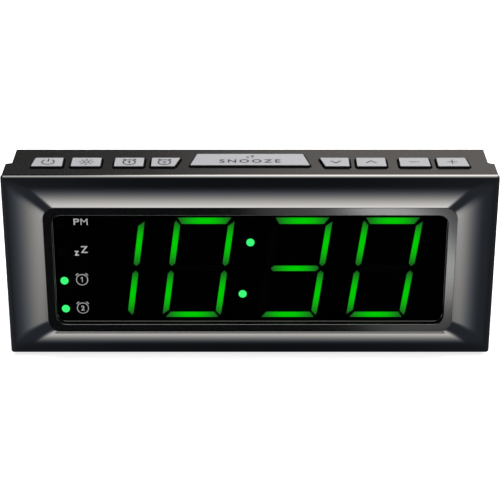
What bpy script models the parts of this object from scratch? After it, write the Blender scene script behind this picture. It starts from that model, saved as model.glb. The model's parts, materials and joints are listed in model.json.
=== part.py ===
"""Clock radio: a tilted front display, nine keys along the top, a speaker behind and a battery bay below.

Run it with: blender --background --python part.py
Lengths are in metres and +Z is up. The display faces -Y. The origin is on the table, under the
middle of the body.
"""

import math

import bmesh
import bpy
from mathutils import Matrix, Vector

# ---- Driving dimensions --------------------------------------------------------------------

GAP = 0.0003  # free space between two pieces that touch
WALL = 0.0022  # thickness of the moulded walls
CORNER_STEPS = 4  # facets in each rounded corner of the large pieces

# Casing
TILT = math.radians(6)  # the front leans back by this angle
FACE_WIDTH = 0.2034
FACE_HEIGHT = 0.0792  # along the tilted front
BOTTOM_DROP = 0.00035  # the rim reaches this far lower
DEPTH = 0.080  # from the display ridge to the bush on the rear wall
BUSH_LIP = 0.0012  # how far that bush stands out of the wall
FOOT_LIFT = 0.0022  # lower edge of the casing above the table

# Front bezel, as depths in front of the face plane and widths in from its edge
RIM_DEPTH = 0.0014
RIM_ROUND = 0.0011
SIDE_BORDER = 0.0172  # edge to ridge, left and right
EDGE_BORDER = 0.0119  # edge to ridge, top and bottom
RIDGE = 0.0055  # how far the ridge round the display stands out
BAND = 0.0034  # flat band from the ridge to the window, above and below
SIDE_BAND = 0.0036  # and at the sides
COVE_STEPS = 7
OUTER_RADIUS = 0.0012
RIDGE_RADIUS = 0.0052
WINDOW_RADIUS = 0.0040

# Display stack, as depths in front of the face plane
LENS_FRONT = 0.0019
LENS_THICKNESS = 0.0020
LENS_LAP = 0.0022  # how far the lens reaches behind the bezel
REFLECTOR_THICKNESS = 0.0080
LIGHT_SHEET = 0.0010
LED_HEIGHT = 0.0010
BOARD = 0.0016  # thickness of every circuit board

# Digits
DIGIT_MIDDLE = 0.0382  # height of the digits' middle up the face
DIGIT_X = (-0.0586, -0.0216, 0.0187, 0.0559)
SLANT = math.tan(math.radians(8))
STROKE_X = 0.0111  # digit centre to the middle of an upright segment
STROKE_Y = 0.0210  # digit centre to the middle of the top segment
STROKE = 0.0028  # width of a segment
COLON_X = -0.00145
COLON_RISE = 0.0116
DOT_RADIUS = 0.0019
DOT_X = -0.0776
DOT_HEIGHTS = (0.0198, 0.0326, 0.0454, 0.0582)

# Cabinet
SEAM = RIM_DEPTH + GAP  # front plane of the cabinet behind the face plane
COLLAR_HALF = 0.1011  # half width of the wide part next to the bezel
COLLAR_DEPTH = 0.0120  # the wide part ends here, behind the face plane
COLLAR_SLOPE = 0.0010
BODY_HALF = 0.0985  # half width of the rest
TOP_DEPTH = 0.0272  # the flat top ends here, behind the face's top edge
REAR_HEIGHT = 0.030  # top of the upright rear wall
TOP_BACK_RADIUS = 0.002
REAR_RADIUS = 0.004
EDGE_ROUND = 0.0006

# Keys: each key's left and right ends at its front, then at its rear
KEY_RAISE = 0.0008
KEY_TRAVEL = 0.0005
KEY_CLEARANCE = 0.00045
KEY_FLANGE = 0.00105
FLANGE_THICKNESS = 0.0012
KEY_ROUND = 0.0004
SMALL_FRONT, SMALL_BACK = 0.0077, 0.0167  # behind the face's top edge
SNOOZE_FRONT, SNOOZE_BACK = 0.0087, 0.0206
KEYS = {
    "power": (-0.0904, -0.0770, -0.0893, -0.0772),
    "dimmer": (-0.0740, -0.0613, -0.0740, -0.0613),
    "alarm_1": (-0.0562, -0.0436, -0.0562, -0.0436),
    "alarm_2": (-0.0410, -0.0308, -0.0410, -0.0286),
    "snooze": (-0.0250, 0.0250, -0.0223, 0.0223),
    "tune_down": (0.0308, 0.0412, 0.0286, 0.0412),
    "tune_up": (0.0438, 0.0564, 0.0438, 0.0564),
    "volume_down": (0.0615, 0.0745, 0.0615, 0.0743),
    "volume_up": (0.0771, 0.0906, 0.0771, 0.0896),
}
STEM = 0.0030  # side of the square stem under a key
SWITCH = 0.0060  # side of a switch body
SWITCH_HEIGHT = 0.0030
PLUNGER_RADIUS = 0.0016
PLUNGER_RISE = 0.0009
PLUNGER_HOLD = 0.0016  # part of the plunger inside the switch
BORE_DEPTH = 0.0024
BOARD_PEGS = ((-0.0588, -0.007), (-0.036, -0.007), (0.036, -0.007), (0.0588, -0.007))
PEG_RADIUS = 0.0010
PEG_SHOULDER = 0.0022

# Base
BASE_UNDER = 0.0023  # underside of the base plate
BASE_THICKNESS = 0.0020
FOOT_RADIUS = 0.005
FOOT_SINK = 0.0006
FOOT_X, FOOT_Y = 0.080, (-0.022, 0.024)
SCREW_X, SCREW_Y = 0.0905, (0.0, 0.028)
SCREW_RADIUS = 0.0015
SCREW_HEAD = 0.0030
SCREW_LENGTH = 0.0115
POST_RADIUS = 0.0040

# Battery bay for two small round cells side by side
BAY_X = (-0.0794, -0.0286)
BAY_Y = (-0.0134, 0.0114)
BAY_TOP = 0.0167
BAY_WALL = 0.0016
DOOR_CLEARANCE = 0.0004
DOOR_THICKNESS = 0.0018
CELL_PITCH = 0.0110
PLATE = 0.0005
SPRING_LENGTH = 0.0045
SPRING_WIRE = 0.00035
SPRING_TURNS = 3

# Main board, jack and aerial
MAIN_X = (-0.020, 0.084)
MAIN_Y = (-0.010, 0.032)
MAIN_UNDER = 0.011
JACK_X, JACK_Z = 0.060, 0.0194
JACK_HOLE = 0.0042
AERIAL_X, AERIAL_Z = -0.060, 0.0160
GROMMET_HOLE = 0.0033
ROD_X = (-0.080, -0.028)
ROD_Y, ROD_Z, ROD_RADIUS = 0.030, 0.022, 0.004
COIL_X = (-0.062, -0.046)

# Speaker, as depths behind the outer face of the rear slope
SPEAKER_RADIUS = 0.025
SPEAKER_FLANGE = 0.0015
SPEAKER_SCREW_X = 0.0286
SLOT_WIDTH = 0.0020
SLOT_PITCH = 0.0046
SLOT_REACH = 0.0205

# ---- Places that follow from the dimensions -------------------------------------------------

FACE_Y = -DEPTH / 2 + RIDGE * math.cos(TILT) - EDGE_BORDER * math.sin(TILT)
FACE_TOP_Y = FACE_Y + FACE_HEIGHT * math.sin(TILT)
TOP = FOOT_LIFT + FACE_HEIGHT * math.cos(TILT) - (SEAM + RIM_ROUND / 3) * math.sin(TILT)
REAR_Y = DEPTH / 2 - BUSH_LIP
TOP_BACK_Y = FACE_TOP_Y + TOP_DEPTH
BASE_TOP = BASE_UNDER + BASE_THICKNESS
CEILING = TOP - WALL
LENS_BACK = LENS_FRONT - LENS_THICKNESS
REFLECTOR_FRONT = LENS_BACK - GAP
REFLECTOR_BACK = REFLECTOR_FRONT - REFLECTOR_THICKNESS
SHEET_FRONT = REFLECTOR_BACK - GAP
SHEET_BACK = SHEET_FRONT - LIGHT_SHEET
DISPLAY_BOARD_FRONT = SHEET_BACK - GAP - LED_HEIGHT
FLANGE_TOP = CEILING - GAP
FLANGE_BOTTOM = FLANGE_TOP - FLANGE_THICKNESS
STEM_BOTTOM = FLANGE_BOTTOM - 0.0019
PLUNGER_TOP = STEM_BOTTOM - GAP
SWITCH_TOP = PLUNGER_TOP - PLUNGER_RISE
SWITCH_BOTTOM = SWITCH_TOP - SWITCH_HEIGHT
KEY_BOARD_TOP = SWITCH_BOTTOM - GAP
KEY_BOARD_UNDER = KEY_BOARD_TOP - BOARD
MAIN_TOP = MAIN_UNDER + BOARD

FACE = Matrix.Translation((0, FACE_Y, FOOT_LIFT)) @ Matrix.Rotation(math.pi / 2 - TILT, 4, "X")

SLOPE_TOP = Vector((0, TOP_BACK_Y, TOP))
SLOPE_FOOT = Vector((0, REAR_Y, REAR_HEIGHT))
SLOPE_UP = (SLOPE_TOP - SLOPE_FOOT).normalized()
SLOPE_OUT = Vector((-1, 0, 0)).cross(SLOPE_UP)
SLOPE = Matrix.Translation((SLOPE_TOP + SLOPE_FOOT) / 2) @ Matrix(
    (
        (-1, 0, 0),
        (0, SLOPE_UP.y, SLOPE_OUT.y),
        (0, SLOPE_UP.z, SLOPE_OUT.z),
    )
).to_4x4()

# ---- Materials: colour, roughness and metallic value ----------------------------------------

FINISHES = {
    "gunmetal_gloss": ((0.035, 0.036, 0.040), 0.18, 0.4),
    "smoked_acrylic": ((0.004, 0.004, 0.005), 0.05, 0.0),
    "silver_key": ((0.60, 0.61, 0.64), 0.35, 0.5),
    "black_plastic": ((0.018, 0.018, 0.019), 0.55, 0.0),
    "rubber": ((0.02, 0.02, 0.02), 0.85, 0.0),
    "circuit_board": ((0.03, 0.16, 0.07), 0.45, 0.0),
    "light_guide": ((0.02, 0.60, 0.05), 0.40, 0.0),
    "steel": ((0.62, 0.63, 0.64), 0.30, 1.0),
    "ferrite": ((0.05, 0.05, 0.055), 0.65, 0.0),
    "copper_wire": ((0.55, 0.22, 0.08), 0.35, 1.0),
    "paper_cone": ((0.03, 0.03, 0.03), 0.90, 0.0),
    "grey_cable": ((0.35, 0.36, 0.38), 0.60, 0.0),
}


def finish(name):
    """The material of that name, made the first time it is asked for."""
    if name in bpy.data.materials:
        return bpy.data.materials[name]
    colour, roughness, metallic = FINISHES[name]
    made = bpy.data.materials.new(name)
    made.use_nodes = True
    shader = made.node_tree.nodes["Principled BSDF"]
    shader.inputs["Base Color"].default_value = (*colour, 1)
    shader.inputs["Roughness"].default_value = roughness
    shader.inputs["Metallic"].default_value = metallic
    return made


# ---- Outlines ------------------------------------------------------------------------------


def rounded(corners, radius, steps=CORNER_STEPS):
    """The closed outline through these corners, each rounded with steps facets.
    radius is one number, or one for each corner; a corner of radius 0 is repeated."""
    radii = radius if isinstance(radius, (list, tuple)) else [radius] * len(corners)
    points = []
    for i, corner in enumerate(corners):
        here = Vector(corner)
        before = (Vector(corners[i - 1]) - here).normalized()
        after = (Vector(corners[(i + 1) % len(corners)]) - here).normalized()
        half = before.angle(after) / 2
        middle = here + (before + after).normalized() * radii[i] / math.sin(half)
        start = here + before * radii[i] / math.tan(half) - middle
        end = here + after * radii[i] / math.tan(half) - middle
        for step in range(steps + 1):
            share = step / steps
            turn = math.pi - 2 * half
            if radii[i] == 0:
                points.append(here.copy())
                continue
            weight_a = math.sin((1 - share) * turn) / math.sin(turn)
            weight_b = math.sin(share * turn) / math.sin(turn)
            points.append(middle + start * weight_a + end * weight_b)
    return points


def rectangle(low, high):
    """Corners of a rectangle, counterclockwise from its lowest corner."""
    return [(low[0], low[1]), (high[0], low[1]), (high[0], high[1]), (low[0], high[1])]


def circle(radius, sides, centre=(0, 0)):
    """A regular outline that starts towards the low corner, as rectangle() does."""
    start = -0.75 * math.pi
    return [
        Vector(
            (
                centre[0] + radius * math.cos(start + 2 * math.pi * i / sides),
                centre[1] + radius * math.sin(start + 2 * math.pi * i / sides),
            )
        )
        for i in range(sides)
    ]


def grown(corners, distance):
    """A counterclockwise convex outline moved outwards by distance, or inwards if it is negative."""
    lines = []
    for i, corner in enumerate(corners):
        a, b = Vector(corner), Vector(corners[(i + 1) % len(corners)])
        along = (b - a).normalized()
        out = Vector((along.y, -along.x))
        lines.append((a + out * distance, along))
    result = []
    for i, (point, along) in enumerate(lines):
        other, before = lines[i - 1]
        share = (point - other).cross(along) / before.cross(along)
        result.append(other + before * share)
    return result


def at_depth(outline, depth):
    """A flat outline as points at one depth."""
    return [Vector((p[0], p[1], depth)) for p in outline]


# ---- Solids --------------------------------------------------------------------------------


def linked(name, bm, finish_name, place=None, smooth=None):
    """Makes the bmesh an object with its faces pointing out. smooth is the angle of a sharp edge."""
    bmesh.ops.remove_doubles(bm, verts=bm.verts, dist=1e-7)
    bmesh.ops.dissolve_degenerate(bm, edges=bm.edges, dist=1e-7)
    bmesh.ops.recalc_face_normals(bm, faces=bm.faces)
    mesh = bpy.data.meshes.new(name)
    bm.to_mesh(mesh)
    bm.free()
    if smooth:
        mesh.shade_smooth()
        mesh.set_sharp_from_angle(angle=math.radians(smooth))
    mesh.materials.append(finish(finish_name))
    obj = bpy.data.objects.new(name, mesh)
    bpy.context.scene.collection.objects.link(obj)
    if place is not None:
        obj.matrix_world = place
    return obj


def add_loft(bm, rings, ring_shaped=False):
    """Skins rings of equally many points. The ends are capped, or joined if it is ring shaped."""
    loops = [[bm.verts.new(p) for p in ring] for ring in rings]
    pairs = list(zip(loops, loops[1:]))
    if ring_shaped:
        pairs.append((loops[-1], loops[0]))
    else:
        bm.faces.new(loops[0])
        bm.faces.new(loops[-1])
    for low, high in pairs:
        for i in range(len(low)):
            k = (i + 1) % len(low)
            bm.faces.new((low[i], low[k], high[k], high[i]))


def loft(name, rings, finish_name, place=None, ring_shaped=False, smooth=30):
    bm = bmesh.new()
    add_loft(bm, rings, ring_shaped)
    return linked(name, bm, finish_name, place, smooth)


def prism(name, outline, low, high, finish_name, place=None):
    return loft(name, [at_depth(outline, low), at_depth(outline, high)], finish_name, place)


def box(name, low, high, finish_name, place=None):
    outline = rectangle(low, high)
    return prism(name, outline, low[2], high[2], finish_name, place)


def turned(name, profile, finish_name, place=None, sides=16, ring_shaped=False):
    """A turned piece about local Z. profile is (radius, depth) pairs."""
    rings = [at_depth(circle(radius, sides), depth) for radius, depth in profile]
    return loft(name, rings, finish_name, place, ring_shaped)


def upright(x, y):
    return Matrix.Translation((x, y, 0))


def prisms(name, outlines, low, high, place=None):
    """Several separate prisms in one mesh, to cut or to join with a Boolean."""
    bm = bmesh.new()
    for outline in outlines:
        add_loft(bm, [at_depth(outline, low), at_depth(outline, high)])
    return helper(linked(name, bm, "black_plastic", place))


def helper(obj):
    """Marks an object as a cutter or an addition: it isn't part of the model."""
    obj.hide_render = True
    obj.display_type = "WIRE"
    return obj


def combine(obj, other, operation):
    modifier = obj.modifiers.new(f"{operation.lower()} {other.name}", "BOOLEAN")
    modifier.operation = operation
    modifier.solver = "EXACT"
    modifier.object = other


# ---- Front: bezel, lens and display ----------------------------------------------------------


def face_outline(side_inset, edge_inset, radius, drop=0):
    """A rounded rectangle on the face, in from its edges by these amounts, and drawn downwards by
    drop at the bottom."""
    half = FACE_WIDTH / 2 - side_inset
    corners = rectangle((-half, edge_inset - drop), (half, FACE_HEIGHT - edge_inset))
    return rounded(corners, radius)


def cove_inset(border, height):
    """How far in the hollow front of the bezel has reached when it stands this high.
    Its section is an arc that leaves the rim flat and is steepest at the ridge."""
    width = border - RIM_ROUND
    bend = (width**2 + RIDGE**2) / (2 * RIDGE)
    return RIM_ROUND + math.sqrt(2 * bend * height - height**2)


def front_bezel():
    """One closed skin: rim, hollow front, ridge, flat band, window wall, lens seat and spigot."""

    def ring(side, edge, depth, radius, drop=0):
        return at_depth(face_outline(side, edge, radius, drop), depth)

    rings = [
        ring(0, 0, -RIM_DEPTH, OUTER_RADIUS, BOTTOM_DROP),
        ring(0, 0, -RIM_ROUND, OUTER_RADIUS, BOTTOM_DROP),
        ring(0.3 * RIM_ROUND, 0.3 * RIM_ROUND, -0.3 * RIM_ROUND, OUTER_RADIUS, BOTTOM_DROP),
        ring(RIM_ROUND, RIM_ROUND, 0, OUTER_RADIUS, BOTTOM_DROP),
    ]
    for step in range(1, COVE_STEPS + 1):
        share = step / COVE_STEPS
        height = RIDGE * share**2
        radius = OUTER_RADIUS + (RIDGE_RADIUS - OUTER_RADIUS) * share
        side = cove_inset(SIDE_BORDER, height)
        edge = cove_inset(EDGE_BORDER, height)
        rings.append(ring(side, edge, height, radius))
    side, edge = SIDE_BORDER + SIDE_BAND, EDGE_BORDER + BAND
    seat = LENS_FRONT + GAP
    lip = 0.0003
    rings += [
        ring(side - lip, edge - lip, RIDGE, WINDOW_RADIUS + lip),
        ring(side, edge, RIDGE - lip, WINDOW_RADIUS),
        ring(side, edge, seat, WINDOW_RADIUS),
        ring(0.0152, 0.0109, seat, RIDGE_RADIUS),
        ring(0.0090, 0.0070, -0.0007, RIDGE_RADIUS),
        ring(0.0046, 0.0046, -0.0020, 0.0030),
        ring(0.0046, 0.0046, -0.0050, 0.0030),
        ring(0.0030, 0.0030, -0.0050, 0.0020),
        ring(0.0030, 0.0030, -RIM_DEPTH, 0.0020),
    ]
    return loft("front_bezel", rings, "gunmetal_gloss", FACE, ring_shaped=True, smooth=25)


def lens_outline():
    side = SIDE_BORDER + SIDE_BAND - LENS_LAP
    edge = EDGE_BORDER + BAND - LENS_LAP
    return face_outline(side, edge, RIDGE_RADIUS)


def digit_point(centre_x, x, y):
    """A point of a digit, slanted, on the face."""
    return (centre_x + x + y * SLANT, DIGIT_MIDDLE + y)


def segment_shapes():
    """The seven segments as outlines round a digit's centre, counterclockwise, in the usual order a to g."""
    half = STROKE / 2
    outer, inner = STROKE_X + half, STROKE_X - half
    top, below = STROKE_Y + half, STROKE_Y - half
    tip = 0.00075  # end of an upright segment's point, from the digit's middle
    shoulder = tip + 0.0014
    right_upper = [
        (STROKE_X, tip),
        (outer, shoulder),
        (outer, top - 0.0011),
        (inner, below - 0.0005),
        (inner, shoulder),
    ]
    left_upper = [
        (-STROKE_X, tip),
        (-inner, shoulder),
        (-inner, below - 0.0003),
        (-outer + 0.0006, top - 0.0008),
        (-outer, top - 0.0021),
        (-outer, shoulder),
    ]
    def flat(edge):
        """The top segment, with its upper edge at this height."""
        return [
            (-inner + 0.0002, below),
            (inner - 0.0005, below),
            (outer - 0.0013, edge),
            (-outer + 0.0008, edge),
        ]

    bar = [
        (-inner + 0.0006, -half),
        (inner - 0.0006, -half),
        (STROKE_X - 0.0008, 0),
        (inner - 0.0006, half),
        (-inner + 0.0006, half),
        (-STROKE_X + 0.0008, 0),
    ]

    def turned_round(points):
        return [(-x, -y) for x, y in points]

    return [
        flat(top + 0.0004),
        right_upper,
        turned_round(left_upper),
        turned_round(flat(top)),
        turned_round(right_upper),
        left_upper,
        bar,
    ]


def light_shapes():
    """Outlines of everything that can light up: the first digit has only its right-hand uprights."""
    shapes = []
    segments = segment_shapes()
    for number, centre_x in enumerate(DIGIT_X):
        for segment in segments[1:3] if number == 0 else segments:
            shapes.append([digit_point(centre_x, x, y) for x, y in segment])
    dot_sides = 12
    for rise in (-COLON_RISE, COLON_RISE):
        centre = digit_point(COLON_X, 0, rise)
        shapes.append(circle(DOT_RADIUS, dot_sides, centre))
    for height in DOT_HEIGHTS:
        shapes.append(circle(DOT_RADIUS, dot_sides, (DOT_X, height)))
    return shapes


def display():
    outline = lens_outline()
    prism("display_lens", outline, LENS_BACK, LENS_FRONT, "smoked_acrylic", FACE)

    reflector = prism(
        "display_reflector", outline, REFLECTOR_BACK, REFLECTOR_FRONT, "black_plastic", FACE
    )
    shapes = light_shapes()
    windows = prisms(
        "reflector_windows", shapes, REFLECTOR_BACK - WALL, REFLECTOR_FRONT + WALL, FACE
    )
    combine(reflector, windows, "DIFFERENCE")

    guide = prism("segment_light_guide", outline, SHEET_BACK, SHEET_FRONT, "light_guide", FACE)
    bosses = prisms(
        "light_guide_bosses",
        [grown(shape, -GAP) for shape in shapes],
        SHEET_FRONT - LIGHT_SHEET / 2,
        REFLECTOR_FRONT - GAP,
        FACE,
    )
    combine(guide, bosses, "UNION")

    board = prism(
        "display_board",
        outline,
        DISPLAY_BOARD_FRONT - BOARD,
        DISPLAY_BOARD_FRONT,
        "circuit_board",
        FACE,
    )
    led_half = Vector((0.0010, 0.0007))
    leds = []
    for shape in shapes:
        middle = sum((Vector(p) for p in shape), Vector((0, 0))) / len(shape)
        leds.append(rectangle(middle - led_half, middle + led_half))
    led_chips = prisms(
        "led_chips", leds, DISPLAY_BOARD_FRONT - BOARD / 2, DISPLAY_BOARD_FRONT + LED_HEIGHT, FACE
    )
    combine(board, led_chips, "UNION")


# ---- Cabinet ---------------------------------------------------------------------------------


def plane_y(z, depth):
    """Y at height z on the plane this far behind the face."""
    return FACE_Y + (z - FOOT_LIFT) * math.tan(TILT) + depth / math.cos(TILT)


def full_section(offset, front, bottom):
    """Side view of the cabinet, moved inwards by offset, with its front and bottom where given."""
    top = TOP - offset
    rear = REAR_Y - offset
    inner_point = SLOPE_TOP - SLOPE_OUT * offset
    slope = SLOPE_UP.z / SLOPE_UP.y
    top_back = inner_point.y + (top - inner_point.z) / slope
    rear_top = inner_point.z + (rear - inner_point.y) * slope
    corners = [
        (plane_y(bottom, front), bottom),
        (plane_y(top, front), top),
        (top_back, top),
        (rear, rear_top),
        (rear, bottom),
    ]
    radii = [0, 0, TOP_BACK_RADIUS - offset, REAR_RADIUS - offset, 0]
    return rounded(corners, [max(radius, 0) for radius in radii], 3)


def collar_section(offset, front, back, bottom):
    """Side view of the wide part, with as many corners as the full section."""
    top = TOP - offset
    middle = (top + REAR_HEIGHT) / 2
    corners = [
        (plane_y(bottom, front), bottom),
        (plane_y(top, front), top),
        (plane_y(top, back), top),
        (plane_y(middle, back), middle),
        (plane_y(bottom, back), bottom),
    ]
    return rounded(corners, 0, 3)


def side_to_side(name, stations):
    """Skins side views placed across X, each mirrored to the other end."""
    rings = []
    both = [(-x, section) for x, section in stations] + [(x, s) for x, s in stations[::-1]]
    for x, section in both:
        rings.append([Vector((x, p[0], p[1])) for p in section])
    return loft(name, rings, "gunmetal_gloss", smooth=25)


def cabinet_shell():
    """Top, sides and back in one moulding, open in front and below."""
    full = full_section(0, SEAM, FOOT_LIFT)
    shell = side_to_side(
        "cabinet_shell",
        [
            (COLLAR_HALF, collar_section(0, SEAM, COLLAR_DEPTH, FOOT_LIFT)),
            (BODY_HALF, collar_section(0, SEAM, COLLAR_DEPTH + COLLAR_SLOPE, FOOT_LIFT)),
            (BODY_HALF, full),
        ],
    )
    edges = shell.modifiers.new("rounded edges", "BEVEL")
    edges.width = EDGE_ROUND
    edges.segments = 2
    edges.limit_method = "ANGLE"
    edges.angle_limit = math.radians(40)

    ahead, below = -0.003, -0.004  # the hollow runs out through the front and the bottom
    hollow = side_to_side(
        "cabinet_hollow",
        [
            (COLLAR_HALF - WALL, collar_section(WALL, ahead, COLLAR_DEPTH - WALL, below)),
            (BODY_HALF - WALL, collar_section(WALL, ahead, COLLAR_DEPTH - WALL, below)),
            (BODY_HALF - WALL, full_section(WALL, ahead, below)),
        ],
    )
    helper(hollow)
    high = TOP + 0.01  # posts run up into the wall above them
    screw_posts = [circle(POST_RADIUS, 12, centre) for centre in screw_places()]
    combine(hollow, prisms("screw_posts", screw_posts, BASE_TOP + GAP, high), "DIFFERENCE")
    shoulders = [circle(PEG_SHOULDER, 8, centre) for centre in BOARD_PEGS]
    combine(
        hollow, prisms("peg_shoulders", shoulders, KEY_BOARD_TOP + GAP, high), "DIFFERENCE"
    )
    pegs = [circle(PEG_RADIUS, 8, centre) for centre in BOARD_PEGS]
    combine(hollow, prisms("board_pegs", pegs, KEY_BOARD_UNDER - 0.001, high), "DIFFERENCE")
    bosses = [circle(0.0031, 10, (side * SPEAKER_SCREW_X, 0)) for side in (-1, 1)]
    boss_end = -WALL - GAP - SPEAKER_FLANGE
    combine(hollow, prisms("speaker_bosses", bosses, boss_end, 0.01, SLOPE), "DIFFERENCE")
    combine(shell, hollow, "DIFFERENCE")

    openings = [rounded(grown(key_corners(key), KEY_CLEARANCE), 0.0008, 2) for key in KEYS]
    combine(shell, prisms("key_openings", openings, CEILING - WALL, TOP + WALL), "DIFFERENCE")
    combine(shell, prisms("speaker_slots", slot_outlines(), -2 * WALL, WALL, SLOPE), "DIFFERENCE")
    pilots = [circle(SCREW_RADIUS + GAP, 8, centre) for centre in screw_places()]
    combine(shell, prisms("screw_pilots", pilots, 0, BASE_UNDER + SCREW_LENGTH + 0.002), "DIFFERENCE")
    small = [circle(0.0012 + GAP, 8, (side * SPEAKER_SCREW_X, 0)) for side in (-1, 1)]
    combine(shell, prisms("boss_pilots", small, -0.01, -0.0009, SLOPE), "DIFFERENCE")
    rear = rear_view()
    holes = [
        circle(JACK_HOLE, 16, (-JACK_X, JACK_Z)),
        circle(GROMMET_HOLE, 12, (-AERIAL_X, AERIAL_Z)),
    ]
    combine(shell, prisms("rear_holes", holes, -2 * WALL, WALL, rear), "DIFFERENCE")
    return shell


def rear_view():
    """A frame on the outside of the rear wall: X to the right seen from behind, Y up and Z out."""
    axes = Matrix(((-1, 0, 0), (0, 0, 1), (0, 1, 0))).to_4x4()
    return Matrix.Translation((0, REAR_Y, 0)) @ axes


def slot_outlines():
    """Rows of slots that fill a circle in front of the speaker."""
    outlines = []
    rows = int(SLOT_REACH / SLOT_PITCH)
    for row in range(-rows, rows + 1):
        y = row * SLOT_PITCH
        half = math.sqrt(SLOT_REACH**2 - y**2) + 0.001
        corners = rectangle((-half, y - SLOT_WIDTH / 2), (half, y + SLOT_WIDTH / 2))
        outlines.append(rounded(corners, 0.49 * SLOT_WIDTH, 2))
    return outlines


# ---- Keys and their switches -------------------------------------------------------------------


def key_corners(key):
    """A key's outline seen from above, counterclockwise from its front left corner."""
    front_left, front_right, back_left, back_right = KEYS[key]
    front, back = SMALL_FRONT, SMALL_BACK
    if key == "snooze":
        front, back = SNOOZE_FRONT, SNOOZE_BACK
    return [
        (front_left, FACE_TOP_Y + front),
        (front_right, FACE_TOP_Y + front),
        (back_right, FACE_TOP_Y + back),
        (back_left, FACE_TOP_Y + back),
    ]


def key_middle(key):
    return sum((Vector(p) for p in key_corners(key)), Vector((0, 0))) / 4


def key_cap(key):
    """A cap with a flange that keeps it in the cabinet, and a stem that meets its switch."""
    middle = key_middle(key)
    cap = [Vector(p) - middle for p in key_corners(key)]
    half = STEM / 2
    stem = rounded(rectangle((-half, -half), (half, half)), 0.0004, 2)
    flange = rounded(grown(cap, KEY_FLANGE), 0.0008, 2)
    body = rounded(cap, 0.0007, 2)
    face = rounded(grown(cap, -KEY_ROUND), 0.0005, 2)
    key_top = TOP + KEY_RAISE
    rings = [
        at_depth(stem, STEM_BOTTOM),
        at_depth(stem, FLANGE_BOTTOM),
        at_depth(flange, FLANGE_BOTTOM),
        at_depth(flange, FLANGE_TOP),
        at_depth(body, FLANGE_TOP),
        at_depth(body, key_top - KEY_ROUND),
        at_depth(face, key_top),
    ]
    name = "snooze_bar" if key == "snooze" else f"{key}_button"
    loft(name, rings, "silver_key", upright(*middle))


def key_switch(key):
    """A tactile switch on the key board: a square body with a bore, and its plunger."""
    place = upright(*key_middle(key))
    half = SWITCH / 2
    body = rounded(rectangle((-half, -half), (half, half)), 0.0004, 2)
    bore = circle(PLUNGER_RADIUS + GAP, len(body))
    rings = [
        at_depth(bore, SWITCH_TOP - BORE_DEPTH),
        at_depth(bore, SWITCH_TOP),
        at_depth(body, SWITCH_TOP),
        at_depth(body, SWITCH_BOTTOM),
    ]
    loft(f"{key}_switch", rings, "black_plastic", place)
    plunger = circle(PLUNGER_RADIUS, 12)
    prism(
        f"{key}_plunger", plunger, SWITCH_TOP - PLUNGER_HOLD, PLUNGER_TOP, "black_plastic", place
    )


def key_board():
    low = (-0.0935, FACE_TOP_Y + 0.0076)
    high = (0.0935, FACE_TOP_Y + 0.0232)
    board = prism(
        "key_board", rectangle(low, high), KEY_BOARD_UNDER, KEY_BOARD_TOP, "circuit_board"
    )
    holes = [circle(PEG_RADIUS + GAP, 8, centre) for centre in BOARD_PEGS]
    combine(board, prisms("peg_holes", holes, KEY_BOARD_UNDER - WALL, TOP), "DIFFERENCE")


# ---- Base, battery bay and feet ------------------------------------------------------------------


def screw_places():
    return [(side * SCREW_X, y) for side in (-1, 1) for y in SCREW_Y]


def foot_places():
    return [(side * FOOT_X, y) for side in (-1, 1) for y in FOOT_Y]


def base_plate():
    """The plate that closes the cabinet from below, with the battery bay and the board's standoffs."""
    wide = COLLAR_HALF - WALL - GAP
    narrow = BODY_HALF - WALL - GAP
    front = plane_y(BASE_TOP, SEAM) + GAP / 2
    shoulder = plane_y(BASE_UNDER, COLLAR_DEPTH - WALL) - GAP
    back = REAR_Y - WALL - GAP
    outline = [
        (-wide, front),
        (wide, front),
        (wide, shoulder),
        (narrow, shoulder),
        (narrow, back),
        (-narrow, back),
        (-narrow, shoulder),
        (-wide, shoulder),
    ]
    base = prism("bottom_cover", outline, BASE_UNDER, BASE_TOP, "black_plastic")

    sunk = BASE_TOP - BASE_THICKNESS / 2
    bay = rectangle(
        (BAY_X[0] - BAY_WALL, BAY_Y[0] - BAY_WALL), (BAY_X[1] + BAY_WALL, BAY_Y[1] + BAY_WALL)
    )
    combine(base, prisms("bay_walls", [bay], sunk, BAY_TOP + BAY_WALL), "UNION")
    inset = 0.006
    standoffs = [
        circle(0.0028, 8, (x, y))
        for x in (MAIN_X[0] + inset, MAIN_X[1] - inset)
        for y in (MAIN_Y[0] + inset, MAIN_Y[1] - inset)
    ]
    combine(base, prisms("board_standoffs", standoffs, sunk, MAIN_UNDER - GAP), "UNION")
    cradle = Vector((0.002, 0.003))
    cradles = [
        rectangle(Vector((x, ROD_Y)) - cradle, Vector((x, ROD_Y)) + cradle)
        for x in (ROD_X[0] + 0.006, ROD_X[1] - 0.006)
    ]
    combine(base, prisms("rod_cradles", cradles, sunk, ROD_Z - ROD_RADIUS - GAP), "UNION")

    low = BASE_UNDER - WALL
    room = rectangle((BAY_X[0], BAY_Y[0]), (BAY_X[1], BAY_Y[1]))
    combine(base, prisms("bay_room", [room], low, BAY_TOP), "DIFFERENCE")
    recesses = [circle(FOOT_RADIUS + 0.0004, 16, centre) for centre in foot_places()]
    combine(base, prisms("foot_recesses", recesses, low, BASE_UNDER + FOOT_SINK), "DIFFERENCE")
    heads = [circle(SCREW_HEAD + GAP, 12, centre) for centre in screw_places()]
    combine(base, prisms("head_recesses", heads, low, BASE_UNDER + 0.0011), "DIFFERENCE")
    shanks = [circle(SCREW_RADIUS + GAP, 8, centre) for centre in screw_places()]
    combine(base, prisms("shank_holes", shanks, BASE_UNDER, BASE_TOP + WALL), "DIFFERENCE")
    vents = [
        rectangle((x - 0.0012, -0.002), (x + 0.0012, 0.022))
        for x in (0.005 + 0.008 * i for i in range(8))
    ]
    combine(base, prisms("vent_slots", vents, low, BASE_TOP + WALL), "DIFFERENCE")


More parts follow.
